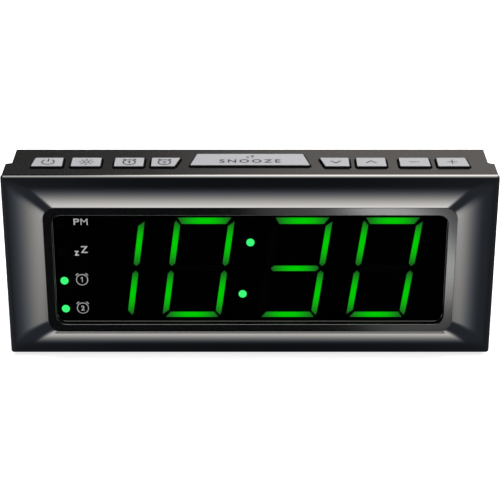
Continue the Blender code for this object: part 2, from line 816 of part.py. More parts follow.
def battery_door():
    """A lid that snaps into the bay's mouth, with a latch tongue and a finger ledge."""
    low = (BAY_X[0] + DOOR_CLEARANCE, BAY_Y[0] + DOOR_CLEARANCE)
    high = (BAY_X[1] - DOOR_CLEARANCE, BAY_Y[1] - DOOR_CLEARANCE)
    door = prism(
        "battery_door", rectangle(low, high), BASE_UNDER, BASE_UNDER + DOOR_THICKNESS, "black_plastic"
    )
    middle = (BAY_X[0] + BAY_X[1]) / 2
    half = 0.005
    tongue = rectangle((middle - half, high[1] - 0.0014), (middle + half, high[1] - 0.0002))
    combine(
        door, prisms("latch_tongue", [tongue], BASE_UNDER + DOOR_THICKNESS / 2, 0.009), "UNION"
    )
    notch = rectangle((middle - half, high[1] - 0.0034), (middle + half, high[1] - 0.0020))
    combine(door, prisms("finger_notch", [notch], 0, BASE_UNDER + 0.0008), "DIFFERENCE")


def foot(name, centre):
    edge = 0.0004
    profile = [
        (FOOT_RADIUS - edge, 0),
        (FOOT_RADIUS, edge),
        (FOOT_RADIUS, BASE_UNDER + FOOT_SINK - GAP),
    ]
    turned(name, profile, "rubber", upright(*centre))


def case_screw(name, centre):
    head_top = BASE_UNDER + 0.0011 - GAP
    profile = [
        (SCREW_HEAD - 0.0004, BASE_UNDER),
        (SCREW_HEAD, BASE_UNDER + 0.0003),
        (SCREW_HEAD, head_top),
        (SCREW_RADIUS, head_top),
        (SCREW_RADIUS, BASE_UNDER + SCREW_LENGTH - 0.001),
        (SCREW_RADIUS / 2, BASE_UNDER + SCREW_LENGTH),
    ]
    turned(name, profile, "steel", upright(*centre), sides=12)


def cell_lines():
    """Y of the two cells' middles."""
    middle = (BAY_Y[0] + BAY_Y[1]) / 2 - 0.001
    return middle - CELL_PITCH / 2, middle + CELL_PITCH / 2


def battery_spring(name, x, y, towards):
    """A cone of wire that starts against a contact plate at x and points along towards."""
    points_per_turn = 10
    count = SPRING_TURNS * points_per_turn + 1
    wide, narrow = 0.0036, 0.0022
    middle = (BASE_TOP + BAY_TOP) / 2
    curve = bpy.data.curves.new(name, "CURVE")
    curve.dimensions = "3D"
    curve.bevel_depth = SPRING_WIRE
    curve.bevel_resolution = 1
    curve.use_fill_caps = True
    spline = curve.splines.new("POLY")
    spline.points.add(count - 1)
    for i, point in enumerate(spline.points):
        share = i / (count - 1)
        angle = 2 * math.pi * i / points_per_turn
        radius = wide + (narrow - wide) * share
        along = x + towards * (SPRING_WIRE + GAP + share * SPRING_LENGTH)
        point.co = (along, y + radius * math.cos(angle), middle + radius * math.sin(angle), 1)
    curve.materials.append(finish("steel"))
    bpy.context.scene.collection.objects.link(bpy.data.objects.new(name, curve))


def battery_contacts():
    """A plate at each end of the bay. The left one carries a spring for the front cell and the
    right one links both cells and carries a spring for the rear one."""
    front_y, rear_y = cell_lines()
    low, high = BASE_TOP + 0.001, BAY_TOP - 0.001
    half = 0.0046
    left = BAY_X[0] + GAP
    right = BAY_X[1] - GAP
    for name, y in (("negative_plate", front_y), ("positive_plate", rear_y)):
        box(name, (left, y - half, low), (left + PLATE, y + half, high), "steel")
    box("link_plate", (right - PLATE, front_y - half, low), (right, rear_y + half, high), "steel")
    battery_spring("negative_spring", left + PLATE, front_y, 1)
    battery_spring("link_spring", right - PLATE, rear_y, -1)


# ---- Main board, jack, aerial and cable -------------------------------------------------------


def main_board():
    board = prism(
        "main_board",
        rectangle((MAIN_X[0], MAIN_Y[0]), (MAIN_X[1], MAIN_Y[1])),
        MAIN_UNDER,
        MAIN_TOP,
        "circuit_board",
    )
    sunk = MAIN_UNDER + BOARD / 2
    chips = [
        rectangle((-0.014, 0.014), (0.014, 0.026)),
        rectangle((0.000, -0.003), (0.018, 0.008)),
        rectangle((0.024, 0.016), (0.034, 0.024)),
        rectangle((0.066, -0.004), (0.078, 0.002)),
    ]
    combine(board, prisms("chips", chips, sunk, MAIN_TOP + 0.0022), "UNION")
    capacitors = [circle(0.0035, 10, (0.042, 0.022)), circle(0.0035, 10, (0.042, 0.012))]
    combine(board, prisms("capacitors", capacitors, sunk, MAIN_TOP + 0.010), "UNION")


def dc_jack():
    """Power socket on the main board: a square body with a round bore and a centre pin."""
    half, below, depth = 0.0045, JACK_Z - MAIN_TOP - GAP, 0.0130
    face = -WALL - GAP
    body = rounded(rectangle((-half, -below), (half, 0.0045)), 0.0005, 2)
    sides = len(body)
    bore, pin, floor = 0.0031, 0.0010, face - 0.0095
    rings = [
        at_depth(circle(pin, sides), face - 0.0012),
        at_depth(circle(pin, sides), floor),
        at_depth(circle(bore, sides), floor),
        at_depth(circle(bore, sides), face),
        at_depth(body, face),
        at_depth(body, face - depth),
    ]
    place = rear_view() @ Matrix.Translation((-JACK_X, JACK_Z, 0))
    loft("dc_jack", rings, "black_plastic", place)


def aerial():
    """The rubber bush that the wire aerial leaves by, and the medium-wave rod with its coil."""
    waist = GROMMET_HOLE - GAP
    profile = [
        (0.0013, BUSH_LIP),
        (0.0042, BUSH_LIP),
        (0.0048, 0.0004 + GAP),
        (0.0048, GAP),
        (waist, GAP),
        (waist, -WALL - GAP),
        (0.0044, -WALL - GAP),
        (0.0044, -WALL - 0.0014),
        (0.0013, -WALL - 0.0014),
    ]
    place = rear_view() @ Matrix.Translation((-AERIAL_X, AERIAL_Z, 0))
    turned("aerial_grommet", profile, "rubber", place, sides=12, ring_shaped=True)

    along_x = Matrix.Translation((0, ROD_Y, ROD_Z)) @ Matrix.Rotation(math.pi / 2, 4, "Y")
    rod = [(ROD_RADIUS, ROD_X[0]), (ROD_RADIUS, ROD_X[1])]
    turned("ferrite_rod", rod, "ferrite", along_x, sides=12)
    inner, outer = ROD_RADIUS + 2 * GAP, ROD_RADIUS + 0.0016
    coil = [(inner, COIL_X[0]), (outer, COIL_X[0]), (outer, COIL_X[1]), (inner, COIL_X[1])]
    turned("aerial_coil", coil, "copper_wire", along_x, sides=12, ring_shaped=True)


def display_cable():
    """A flat cable in a gentle bend from the display board's foot to the main board."""
    start_h = 0.019
    start = FACE @ Vector((0, start_h, DISPLAY_BOARD_FRONT - BOARD - 2 * GAP))
    end = Vector((0, MAIN_Y[0] + 0.004, MAIN_TOP + 2 * GAP))
    leave = FACE.to_3x3() @ Vector((0, 0, -0.006))
    points = []
    steps = 8
    half = 0.0003
    for step in range(steps + 1):
        share = step / steps
        a, b, c, d = start, start + leave, end + Vector((0, -0.001, 0.006)), end
        one = 1 - share
        middle = a * one**3 + b * (3 * one**2 * share) + c * (3 * one * share**2) + d * share**3
        tangent = (b - a) * one**2 + (c - b) * (2 * one * share) + (d - c) * share**2
        side = Vector((0, -tangent.z, tangent.y)).normalized() * half
        points.append((middle + side, middle - side))
    outline = [p[0] for p in points] + [p[1] for p in reversed(points)]
    left, right = 0.022, 0.042
    rings = [[Vector((x, p.y, p.z)) for p in outline] for x in (left, right)]
    loft("display_cable", rings, "grey_cable")


# ---- Speaker -----------------------------------------------------------------------------------


def speaker():
    sides = 20
    front = -WALL - GAP
    flange_back = front - SPEAKER_FLANGE
    basket_back = -0.0152
    basket = [
        (SPEAKER_RADIUS, front),
        (SPEAKER_RADIUS, flange_back),
        (0.0212, flange_back),
        (0.0132, basket_back + 0.0010),
        (0.0132, basket_back),
        (0.0056, basket_back),
        (0.0056, basket_back + 0.0011),
        (0.0122, basket_back + 0.0014),
        (0.0204, front - 0.0011),
        (0.0208, front),
    ]
    turned("speaker_basket", basket, "steel", SLOPE, sides, ring_shaped=True)
    cone = [
        (0.0012, -0.0074),
        (0.0034, -0.0079),
        (0.0052, -0.0094),
        (0.0192, -0.0032),
        (0.0196, -0.0036),
        (0.0058, -0.0102),
        (0.0050, -0.0106),
        (0.0050, -0.0130),
        (0.0045, -0.0130),
        (0.0045, -0.0100),
        (0.0032, -0.0087),
        (0.0012, -0.0081),
    ]
    turned("speaker_cone", cone, "paper_cone", SLOPE, sides)
    magnet = [
        (0.0039, -0.0115),
        (0.0039, basket_back - GAP),
        (0.0145, basket_back - GAP),
        (0.0145, basket_back - 0.0065),
    ]
    turned("speaker_magnet", magnet, "steel", SLOPE, sides)
    screw = [
        (0.0006, -0.0022),
        (0.0012, -0.0028),
        (0.0012, flange_back - GAP),
        (0.0044, flange_back - GAP),
        (0.0044, flange_back - GAP - 0.0008),
        (0.0024, flange_back - GAP - 0.0018),
    ]
    for name, side in (("speaker_screw_left", -1), ("speaker_screw_right", 1)):
        place = SLOPE @ Matrix.Translation((-side * SPEAKER_SCREW_X, 0, 0))
        turned(name, screw, "steel", place, sides=12)


# ---- The whole radio -----------------------------------------------------------------------------


def main():
    for obj in list(bpy.data.objects):
        bpy.data.objects.remove(obj)
    front_bezel()
    display()
    cabinet_shell()
    for key in KEYS:
        key_cap(key)
        key_switch(key)
    key_board()
    base_plate()
    battery_door()
    battery_contacts()
    for centre in foot_places():
        foot(f"foot_{corner_name(centre)}", centre)
    for centre in screw_places():
        case_screw(f"case_screw_{corner_name(centre)}", centre)
    main_board()
    dc_jack()
    aerial()
    display_cable()
    speaker()


def corner_name(centre):
    side = "left" if centre[0] < 0 else "right"
    end = "front" if centre[1] < (SCREW_Y[0] + SCREW_Y[1]) / 2 else "rear"
    return f"{end}_{side}"


main()
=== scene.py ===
"""Looks of the clock radio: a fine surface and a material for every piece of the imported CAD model."""

import json
import math

import bmesh
import bpy
from mathutils import Matrix, Vector


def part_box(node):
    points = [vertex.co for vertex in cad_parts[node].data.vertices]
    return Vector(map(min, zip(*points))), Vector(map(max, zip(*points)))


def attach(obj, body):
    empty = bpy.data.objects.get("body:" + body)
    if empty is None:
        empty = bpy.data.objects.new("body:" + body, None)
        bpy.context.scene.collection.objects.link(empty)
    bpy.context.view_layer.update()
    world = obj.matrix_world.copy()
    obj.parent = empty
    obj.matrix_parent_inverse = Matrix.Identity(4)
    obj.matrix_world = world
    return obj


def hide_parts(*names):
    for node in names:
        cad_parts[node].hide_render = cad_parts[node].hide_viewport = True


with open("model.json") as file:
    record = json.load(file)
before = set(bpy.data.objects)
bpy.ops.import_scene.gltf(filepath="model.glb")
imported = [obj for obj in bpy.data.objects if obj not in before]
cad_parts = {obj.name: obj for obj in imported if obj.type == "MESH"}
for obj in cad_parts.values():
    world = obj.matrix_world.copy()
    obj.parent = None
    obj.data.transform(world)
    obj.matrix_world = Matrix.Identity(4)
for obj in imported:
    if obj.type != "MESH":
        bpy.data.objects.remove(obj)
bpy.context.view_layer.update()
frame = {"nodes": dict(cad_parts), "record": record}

# ---- Sizes of the CAD model that the fine pieces repeat, in metres ----

GAP = 0.0003
WALL = 0.0022
TILT = math.radians(6)
FACE_WIDTH = 0.2034
FACE_HEIGHT = 0.0792
BOTTOM_DROP = 0.00035
FOOT_LIFT = 0.0022
RIM_DEPTH = 0.0014
RIM_ROUND = 0.0015
OTHER_ROUND = 0.00035
SIDE_BORDER = 0.0172
EDGE_BORDER = 0.0119
RIDGE = 0.0055
BAND = 0.0034
SIDE_BAND = 0.0036
OUTER_RADIUS = 0.0012
RIDGE_RADIUS = 0.0052
WINDOW_RADIUS = 0.0040
OPENING_SIDE = SIDE_BORDER + SIDE_BAND
OPENING_EDGE = EDGE_BORDER + BAND
LENS_FRONT = 0.0019
LENS_BACK = -0.0001
LENS_LAP = 0.0022
REFLECTOR_FRONT = LENS_BACK - GAP
REFLECTOR_BACK = REFLECTOR_FRONT - 0.0080
DIGIT_MIDDLE = 0.0382
DIGIT_X = (-0.0586, -0.0216, 0.0187, 0.0559)
SLANT = math.tan(math.radians(8))
STROKE_X = 0.0111
STROKE_Y = 0.0210
STROKE = 0.0028
COLON_X = -0.00145
COLON_RISE = 0.0116
DOT_RADIUS = 0.0019
DOT_X = -0.0776
DOT_HEIGHTS = (0.0198, 0.0326, 0.0454, 0.0582)
SEAM = RIM_DEPTH + GAP
COLLAR_HALF = 0.1011
COLLAR_DEPTH = 0.0120
COLLAR_SLOPE = 0.0010
BODY_HALF = 0.0985
TOP_DEPTH = 0.0272
REAR_HEIGHT = 0.030
TOP_BACK_RADIUS = 0.002
REAR_RADIUS = 0.004
KEY_RAISE = 0.0008
KEY_CLEARANCE = 0.00045
KEY_FLANGE = 0.00105
SMALL_FRONT, SMALL_BACK = 0.0077, 0.0167
SNOOZE_FRONT, SNOOZE_BACK = 0.0087, 0.0206
KEYS = {  # X of the front left, front right, back left and back right corner
    "power": (-0.0904, -0.0770, -0.0893, -0.0772),
    "dimmer": (-0.0740, -0.0613, -0.0740, -0.0613),
    "alarm_1": (-0.0562, -0.0436, -0.0562, -0.0436),
    "alarm_2": (-0.0410, -0.0308, -0.0410, -0.0286),
    "snooze": (-0.0250, 0.0250, -0.0223, 0.0223),
    "tune_down": (0.0308, 0.0412, 0.0286, 0.0412),
    "tune_up": (0.0438, 0.0564, 0.0438, 0.0564),
    "volume_down": (0.0615, 0.0745, 0.0615, 0.0743),
    "volume_up": (0.0771, 0.0906, 0.0771, 0.0896),
}
JACK_X, JACK_Z, JACK_HOLE = 0.060, 0.0194, 0.0042
AERIAL_X, AERIAL_Z, GROMMET_HOLE = -0.060, 0.0160, 0.0033
SLOT_WIDTH, SLOT_PITCH, SLOT_REACH = 0.0020, 0.0046, 0.0205

FACE_Y = -0.040 + RIDGE * math.cos(TILT) - EDGE_BORDER * math.sin(TILT)
FACE_TOP_Y = FACE_Y + FACE_HEIGHT * math.sin(TILT)
TOP = FOOT_LIFT + FACE_HEIGHT * math.cos(TILT) - (SEAM + 0.0011 / 3) * math.sin(TILT)
REAR_Y = 0.0388
CEILING = TOP - WALL

FACE = Matrix.Translation((0, FACE_Y, FOOT_LIFT)) @ Matrix.Rotation(math.pi / 2 - TILT, 4, "X")
SLOPE_TOP = Vector((0, FACE_TOP_Y + TOP_DEPTH, TOP))
SLOPE_FOOT = Vector((0, REAR_Y, REAR_HEIGHT))
SLOPE_UP = (SLOPE_TOP - SLOPE_FOOT).normalized()
SLOPE_OUT = Vector((-1, 0, 0)).cross(SLOPE_UP)
SLOPE = Matrix.Translation((SLOPE_TOP + SLOPE_FOOT) / 2) @ Matrix(
    ((-1, 0, 0), (0, SLOPE_UP.y, SLOPE_OUT.y), (0, SLOPE_UP.z, SLOPE_OUT.z))
).to_4x4()
REAR = Matrix.Translation((0, REAR_Y, 0)) @ Matrix(((-1, 0, 0), (0, 0, 1), (0, 1, 0))).to_4x4()

# ---- Materials ----


class Graph:
    """Shorthand for building a node tree."""

    def __init__(self, tree):
        self.tree = tree

    def add(self, kind, sockets, **settings):
        """A new node. sockets gives the value of each input, or the output that feeds it."""
        node = self.tree.nodes.new(kind)
        for key, value in settings.items():
            setattr(node, key, value)
        for key, value in sockets.items():
            if isinstance(value, bpy.types.NodeSocket):
                self.tree.links.new(value, node.inputs[key])
            else:
                node.inputs[key].default_value = value
        return node

    def mix(self, factor, a, b):
        """Colours a and b mixed. Each is (r, g, b) or an output."""
        a, b = ((*colour, 1) if isinstance(colour, tuple) else colour for colour in (a, b))
        mixer = self.add("ShaderNodeMix", {"Factor": factor, "A": a, "B": b}, data_type="RGBA")
        return mixer.outputs["Result"]


class Nodes(Graph):
    """One material. Its shader's sockets are set like this: Base_Color=..., Roughness=..."""

    def __init__(self, name, **values):
        self.material = bpy.data.materials.new(name)
        self.material.use_nodes = True
        super().__init__(self.material.node_tree)
        self.shader = self.tree.nodes["Principled BSDF"]
        for key, value in values.items():
            self.shader.inputs[key.replace("_", " ")].default_value = value
        self.place = self.add("ShaderNodeTexCoord", {}).outputs["Object"]

    def noise(self, scale, detail=2.0, rough=0.5, stretch=(1, 1, 1)):
        """A noise pattern in object space, from 0 to 1, with scale in cycles per metre."""
        stretched = self.add("ShaderNodeMapping", {"Vector": self.place, "Scale": stretch}).outputs["Vector"]
        sockets = {"Vector": stretched, "Scale": scale, "Detail": detail, "Roughness": rough}
        return self.add("ShaderNodeTexNoise", sockets).outputs["Fac"]

    def cells(self, scale):
        return self.add("ShaderNodeTexVoronoi", {"Vector": self.place, "Scale": scale}).outputs["Distance"]

    def spread(self, source, low, high, start=0.3, end=0.7):
        """source rescaled, so that start gives low and end gives high."""
        sockets = {"Value": source, "From Min": start, "From Max": end, "To Min": low, "To Max": high}
        return self.add("ShaderNodeMapRange", sockets).outputs["Result"]

    def to(self, source, socket):
        self.tree.links.new(source, self.shader.inputs[socket])

    def colour(self, pattern, a, b, start=0.3, end=0.7):
        """The base colour goes from a to b over the pattern."""
        self.to(self.mix(self.spread(pattern, 0, 1, start, end), a, b), "Base Color")

    def roughness(self, pattern, low, high):
        self.to(self.spread(pattern, low, high), "Roughness")

    def bump(self, height, distance):
        """A bump of this depth in metres."""
        sockets = {"Height": height, "Strength": 1.0, "Distance": distance}
        self.to(self.add("ShaderNodeBump", sockets).outputs["Normal"], "Normal")


def shade(colour, factor):
    return tuple(c * factor for c in colour)


def gunmetal():
    """Dark metallic lacquer, smooth, with very fine flakes under the gloss."""
    n = Nodes("gunmetal_lacquer", Metallic=1.0)
    n.colour(n.cells(9000), (0.455, 0.455, 0.46), (0.425, 0.425, 0.43), 0.1, 0.7)
    n.roughness(n.noise(60, 3), 0.135, 0.155)
    return n.material


def black_gloss():
    """Polished black surround of the display."""
    n = Nodes("black_gloss", IOR=1.5)
    n.colour(n.noise(120, 3), (0.0024, 0.0026, 0.0032), (0.0032, 0.0034, 0.0040))
    n.roughness(n.noise(90, 3), 0.25, 0.28)
    return n.material


def matt_black():
    """Light-absorbing black inside the display's frame."""
    n = Nodes("matt_black", Specular_IOR_Level=0.1)
    n.colour(n.noise(400, 3), (0.0012, 0.0012, 0.0012), (0.002, 0.002, 0.002))
    n.roughness(n.noise(900, 3), 0.6, 0.8)
    return n.material


def satin_grey():
    """Satin dark grey plastic with a very fine spark texture."""
    n = Nodes("satin_grey_plastic", IOR=1.5)
    grain = n.noise(5200, 2, 0.6)
    n.colour(n.noise(45, 4), (0.0145, 0.0143, 0.0145), (0.0170, 0.0166, 0.0165))
    n.roughness(grain, 0.22, 0.30)
    n.bump(grain, 0.000004)
    return n.material


def moulded_black(name="moulded_black", depth=0.00002, base=(0.017, 0.017, 0.018)):
    """Black moulded plastic with an eroded texture."""
    n = Nodes(name)
    texture = n.noise(2600, 3, 0.55)
    n.colour(n.noise(70, 4), base, shade(base, 1.35))
    n.roughness(texture, 0.48, 0.68)
    n.bump(texture, depth)
    return n.material


def silver():
    """Silver paint on the tops of the keys."""
    n = Nodes("silver_paint", Metallic=0.1, Specular_IOR_Level=0.3)
    n.colour(n.cells(7000), (0.452, 0.463, 0.490), (0.408, 0.418, 0.445), 0.1, 0.6)
    n.roughness(n.noise(300, 3), 0.5, 0.6)
    n.bump(n.noise(3000, 2), 0.000005)
    return n.material


def plain(name, colour, roughness, scale=800, depth=0.000004):
    """A simple finish with slight variation in its colour and gloss."""
    n = Nodes(name)
    fine = n.noise(scale, 3)
    n.colour(n.noise(scale / 8, 4), shade(colour, 0.88), shade(colour, 1.12))
    n.roughness(fine, roughness * 0.85, min(1, roughness * 1.15))
    n.bump(fine, depth)
    return n.material


def brushed(name, colour, roughness, stretch):
    """Plated metal with brushed lines, close together along the axis with the larger stretch."""
    n = Nodes(name, Metallic=1.0)
    lines = n.noise(700, 3, 0.6, stretch)
    n.colour(lines, shade(colour, 0.85), colour)
    n.roughness(lines, roughness * 0.8, roughness * 1.25)
    n.bump(lines, 0.000006)
    return n.material


def smoked():
    """Smoked acrylic, so dark that only lit segments show through it."""
    n = Nodes("smoked_acrylic", IOR=1.49, Alpha=0.6, Specular_IOR_Level=0.3)
    n.colour(n.noise(60, 2), (0.0, 0.0, 0.0), (0.0004, 0.0004, 0.0005))
    n.roughness(n.noise(40, 2), 0.03, 0.05)
    return n.material


def glow(name, bright, dim, strength):
    """A lit diffuser: brightest over its chip, where the mesh's glow attribute is 1."""
    n = Nodes(name, Base_Color=(0.02, 0.05, 0.02, 1), Roughness=0.5, Emission_Strength=strength)
    level = n.add("ShaderNodeAttribute", {}, attribute_name="glow").outputs["Fac"]
    grain = n.spread(n.noise(2500, 2), -0.06, 0.06)
    total = n.add("ShaderNodeMath", {0: level, 1: grain}, operation="ADD").outputs["Value"]
    n.to(n.mix(total, dim, bright), "Emission Color")
    return n.material


def circuit():
    """Green solder mask over faint copper tracks."""
    n = Nodes("circuit_board")
    sockets = {"Vector": n.place, "Scale": 260, "Mortar Size": 0.012}
    tracks = n.add("ShaderNodeTexBrick", sockets).outputs["Fac"]
    n.colour(tracks, (0.010, 0.085, 0.030), (0.030, 0.17, 0.06), 0, 1)
    n.roughness(n.noise(500, 3), 0.30, 0.45)
    n.bump(tracks, 0.00002)
    return n.material


def winding():
    """Enamelled wire laid in close turns along X."""
    n = Nodes("copper_winding", Metallic=1.0, Roughness=0.3)
    sockets = {"Vector": n.place, "Scale": 900, "Distortion": 0.4}
    turns = n.add("ShaderNodeTexWave", sockets, wave_type="BANDS", bands_direction="X").outputs["Fac"]
    n.to(n.mix(turns, (0.22, 0.07, 0.02), (0.62, 0.26, 0.09)), "Base Color")
    n.bump(turns, 0.0001)
    return n.material


MATERIALS = {
    "gunmetal": gunmetal(),
    "black_gloss": black_gloss(),
    "satin_grey": satin_grey(),
    "black": moulded_black(),
    "skirt": plain("key_skirt_black", (0.006, 0.006, 0.007), 0.35),
    "silver": silver(),
    "rubber": moulded_black("rubber", 0.00003, (0.020, 0.020, 0.020)),
    "mark": plain("dark_print", (0.035, 0.036, 0.045), 0.5),
    "print": plain("white_print", (0.55, 0.56, 0.57), 0.5),
    "lens": smoked(),
    "segment": glow("lit_segment", (0.0, 1.0, 0.0), (0.016, 0.17, 0.022), 3.7),
    "dot": glow("lit_dot", (0.045, 1.0, 0.19), (0.03, 0.75, 0.14), 6.6),
    "unlit": plain("unlit_diffuser", (0.02, 0.03, 0.02), 0.5),
    "guide": plain("light_guide_green", (0.03, 0.35, 0.06), 0.4),
    "mask": matt_black(),
    "steel": brushed("nickel_steel", (0.60, 0.60, 0.59), 0.28, (1, 1, 8)),
    "tin": brushed("spring_steel", (0.68, 0.68, 0.68), 0.22, (8, 1, 1)),
    "zinc": brushed("zinc_plate", (0.55, 0.56, 0.58), 0.35, (1, 6, 1)),
    "ferrite": plain("ferrite", (0.035, 0.035, 0.04), 0.7, depth=0.00002),
    "copper": winding(),
    "paper": plain("pressed_paper", (0.022, 0.022, 0.022), 0.9, scale=1600, depth=0.00006),
    "ribbon": plain("ribbon_grey", (0.33, 0.34, 0.36), 0.55),
    "board": circuit(),
}

# ---- Outlines and meshes ----


def rounded(corners, radius, steps):
    """The closed outline through these corners, each rounded with steps facets. A corner of
    radius 0 is repeated."""
    radii = radius if isinstance(radius, (list, tuple)) else [radius] * len(corners)
    points = []
    for i, corner in enumerate(corners):
        here = Vector(corner)
        before = (Vector(corners[i - 1]) - here).normalized()
        after = (Vector(corners[(i + 1) % len(corners)]) - here).normalized()
        half = before.angle(after) / 2
        middle = here + (before + after).normalized() * radii[i] / math.sin(half)
        start = here + before * radii[i] / math.tan(half) - middle
        end = here + after * radii[i] / math.tan(half) - middle
        turn = math.pi - 2 * half
        for step in range(steps + 1):
            if radii[i] == 0:
                points.append(here.copy())
                continue
            share = step / steps
            points.append(
                middle
                + start * math.sin((1 - share) * turn) / math.sin(turn)
                + end * math.sin(share * turn) / math.sin(turn)
            )
    return points


def rectangle(low, high):
    return [(low[0], low[1]), (high[0], low[1]), (high[0], high[1]), (low[0], high[1])]


def circle(radius, sides, centre=(0, 0)):
    start = -0.75 * math.pi
    angles = [start + 2 * math.pi * i / sides for i in range(sides)]
    return [Vector(centre) + radius * Vector((math.cos(a), math.sin(a))) for a in angles]


def quarter_turn(count):
    """Angles from 0 to 90 degrees in this many steps."""
    return [math.pi / 2 * i / count for i in range(count + 1)]


def grown(corners, distance):
    """A counterclockwise convex outline moved outwards by distance, or inwards if it is negative."""
    lines = []
    for i, corner in enumerate(corners):
        a, b = Vector(corner), Vector(corners[(i + 1) % len(corners)])
        along = (b - a).normalized()
        lines.append((a + Vector((along.y, -along.x)) * distance, along))
    result = []
    for i, (point, along) in enumerate(lines):
        other, before = lines[i - 1]
        result.append(other + before * ((point - other).cross(along) / before.cross(along)))
    return result


def at_depth(outline, depth):
    return [Vector((p[0], p[1], depth)) for p in outline]


def add_loft(bm, rings, ring_shaped=False, material=0, first_cap=True):
    """Skins rings of equally many points. The ends are capped, or joined if it is ring shaped.
    material is one index, or one for each pair of rings and then one for each cap. Returns the
    vertices of each ring."""
    loops = [[bm.verts.new(p) for p in ring] for ring in rings]
    pairs = list(zip(loops, loops[1:]))
    if ring_shaped:
        pairs.append((loops[-1], loops[0]))
    indices = material if isinstance(material, (list, tuple)) else [material] * (len(pairs) + 2)
    for (low, high), index in zip(pairs, indices):
        for i in range(len(low)):
            k = (i + 1) % len(low)
            bm.faces.new((low[i], low[k], high[k], high[i])).material_index = index
    if not ring_shaped:
        if first_cap:
            bm.faces.new(loops[0]).material_index = indices[-2]
        bm.faces.new(loops[-1]).material_index = indices[-1]
    return loops


def placed(name, data):
    """A new object in the scene."""
    obj = bpy.data.objects.new(name, data)
    bpy.context.scene.collection.objects.link(obj)
    return obj


def made(name, bm, materials, place=None, smooth=35):
    """Makes the bmesh an object, moved by place, with edges over smooth degrees left sharp."""
    bmesh.ops.remove_doubles(bm, verts=bm.verts, dist=1e-7)
    bmesh.ops.dissolve_degenerate(bm, edges=bm.edges, dist=1e-7)
    bmesh.ops.recalc_face_normals(bm, faces=bm.faces)
    if place is not None:
        bmesh.ops.transform(bm, matrix=place, verts=bm.verts)
    mesh = bpy.data.meshes.new(name)
    bm.to_mesh(mesh)
    bm.free()
    if smooth:
        mesh.shade_smooth()
        mesh.set_sharp_from_angle(angle=math.radians(smooth))
    for material in materials:
        mesh.materials.append(MATERIALS[material])
    return placed(name, mesh)


def loft(name, rings, materials, place=None, ring_shaped=False, material=0, smooth=35):
    bm = bmesh.new()
    add_loft(bm, rings, ring_shaped, material)
    return made(name, bm, materials, place, smooth)


def piece(obj, body, slot, *nodes):
    """obj belongs to that body and stands for those CAD nodes, which are hidden. slot is not used."""
    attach(obj, body)
    if nodes:
        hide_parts(*nodes)
    return obj


def softened(obj, width, segments=2, angle=35):
    """Rounds the sharp edges."""
    bevel = obj.modifiers.new("edges", "BEVEL")
    bevel.width = width
    bevel.segments = segments
    bevel.limit_method = "ANGLE"
    bevel.angle_limit = math.radians(angle)
    bevel.harden_normals = True


def cut(obj, cutter):
    """Takes the cutter out of obj and removes it."""
    modifier = obj.modifiers.new("cut", "BOOLEAN")
    modifier.operation = "DIFFERENCE"
    modifier.solver = "EXACT"
    modifier.object = cutter
    settle(obj)
    bpy.data.objects.remove(cutter)


def even_shading(obj):
    """Keeps large flat faces flat beside rounded ones."""
    normals = obj.modifiers.new("normals", "WEIGHTED_NORMAL")
    normals.keep_sharp = True
    normals.weight = 100


def settle(obj):
    """Applies the modifiers."""
    bpy.context.view_layer.update()
    graph = bpy.context.evaluated_depsgraph_get()
    mesh = bpy.data.meshes.new_from_object(obj.evaluated_get(graph))
    obj.modifiers.clear()
    old = obj.data
    obj.data = mesh
    bpy.data.meshes.remove(old)


def refined(node, material, width=0.0002, smooth=35):
    """A copy of a CAD node with whole faces, soft edges and a material."""
    source = frame["nodes"][node]
    bm = bmesh.new()
    bm.from_mesh(source.data)
    bmesh.ops.remove_doubles(bm, verts=bm.verts, dist=1e-6)
    bmesh.ops.dissolve_limit(bm, angle_limit=math.radians(0.5), verts=bm.verts, edges=bm.edges)
    for face in bm.faces:
        face.material_index = 0
    obj = made(f"{node}_fine", bm, [material], smooth=smooth)
    if width:
        softened(obj, width)
    body = next(b for b, nodes in frame["record"]["behaviour"]["bodies"].items() if node in nodes)
    slot = next(s["material_slot"] for s in frame["record"]["subparts"] if s["node"] == node)
    return piece(obj, body, slot, node)


# ---- Front bezel ----

CREST = 0.00011  # roundness of the ridge
LIP = 0.0002  # roundness of the surround's inner edge
FILM = 0.00004  # how far the bezel is sunk under the polished surround


def face_outline(side_inset, edge_inset, radius):
    """A rounded rectangle on the face, in from its edges by these amounts."""
    half = FACE_WIDTH / 2 - side_inset
    return rounded(rectangle((-half, edge_inset), (half, FACE_HEIGHT - edge_inset)), radius, 14)


def cove_inset(border, height):
    """How far in the hollow slope has reached at this height: an arc, flat at the rim."""
    width = border - RIM_ROUND
    bend = (width**2 + RIDGE**2) / (2 * RIDGE)
    return RIM_ROUND + math.sqrt(max(0, 2 * bend * height - height**2))


def face_ring(side, edge, depth, radius):
    return at_depth(face_outline(side, edge, radius), depth)


def rim_ring(angle):
    """Part of the rounded outer edge, whose round is larger along the top."""
    out, back = 1 - math.cos(angle), 1 - math.sin(angle)
    small = OTHER_ROUND * out
    low = (small - FACE_WIDTH / 2, small - BOTTOM_DROP)
    high = (FACE_WIDTH / 2 - small, FACE_HEIGHT - RIM_ROUND * out)
    result = []
    for point in rounded(rectangle(low, high), OUTER_RADIUS, 14):
        # the larger round takes over from 2 to 0.8 mm below the top
        share = min(1, max(0, (point.y - FACE_HEIGHT + 0.002) / 0.0012))
        result.append(Vector((*point, -back * (OTHER_ROUND + (RIM_ROUND - OTHER_ROUND) * share))))
    return result


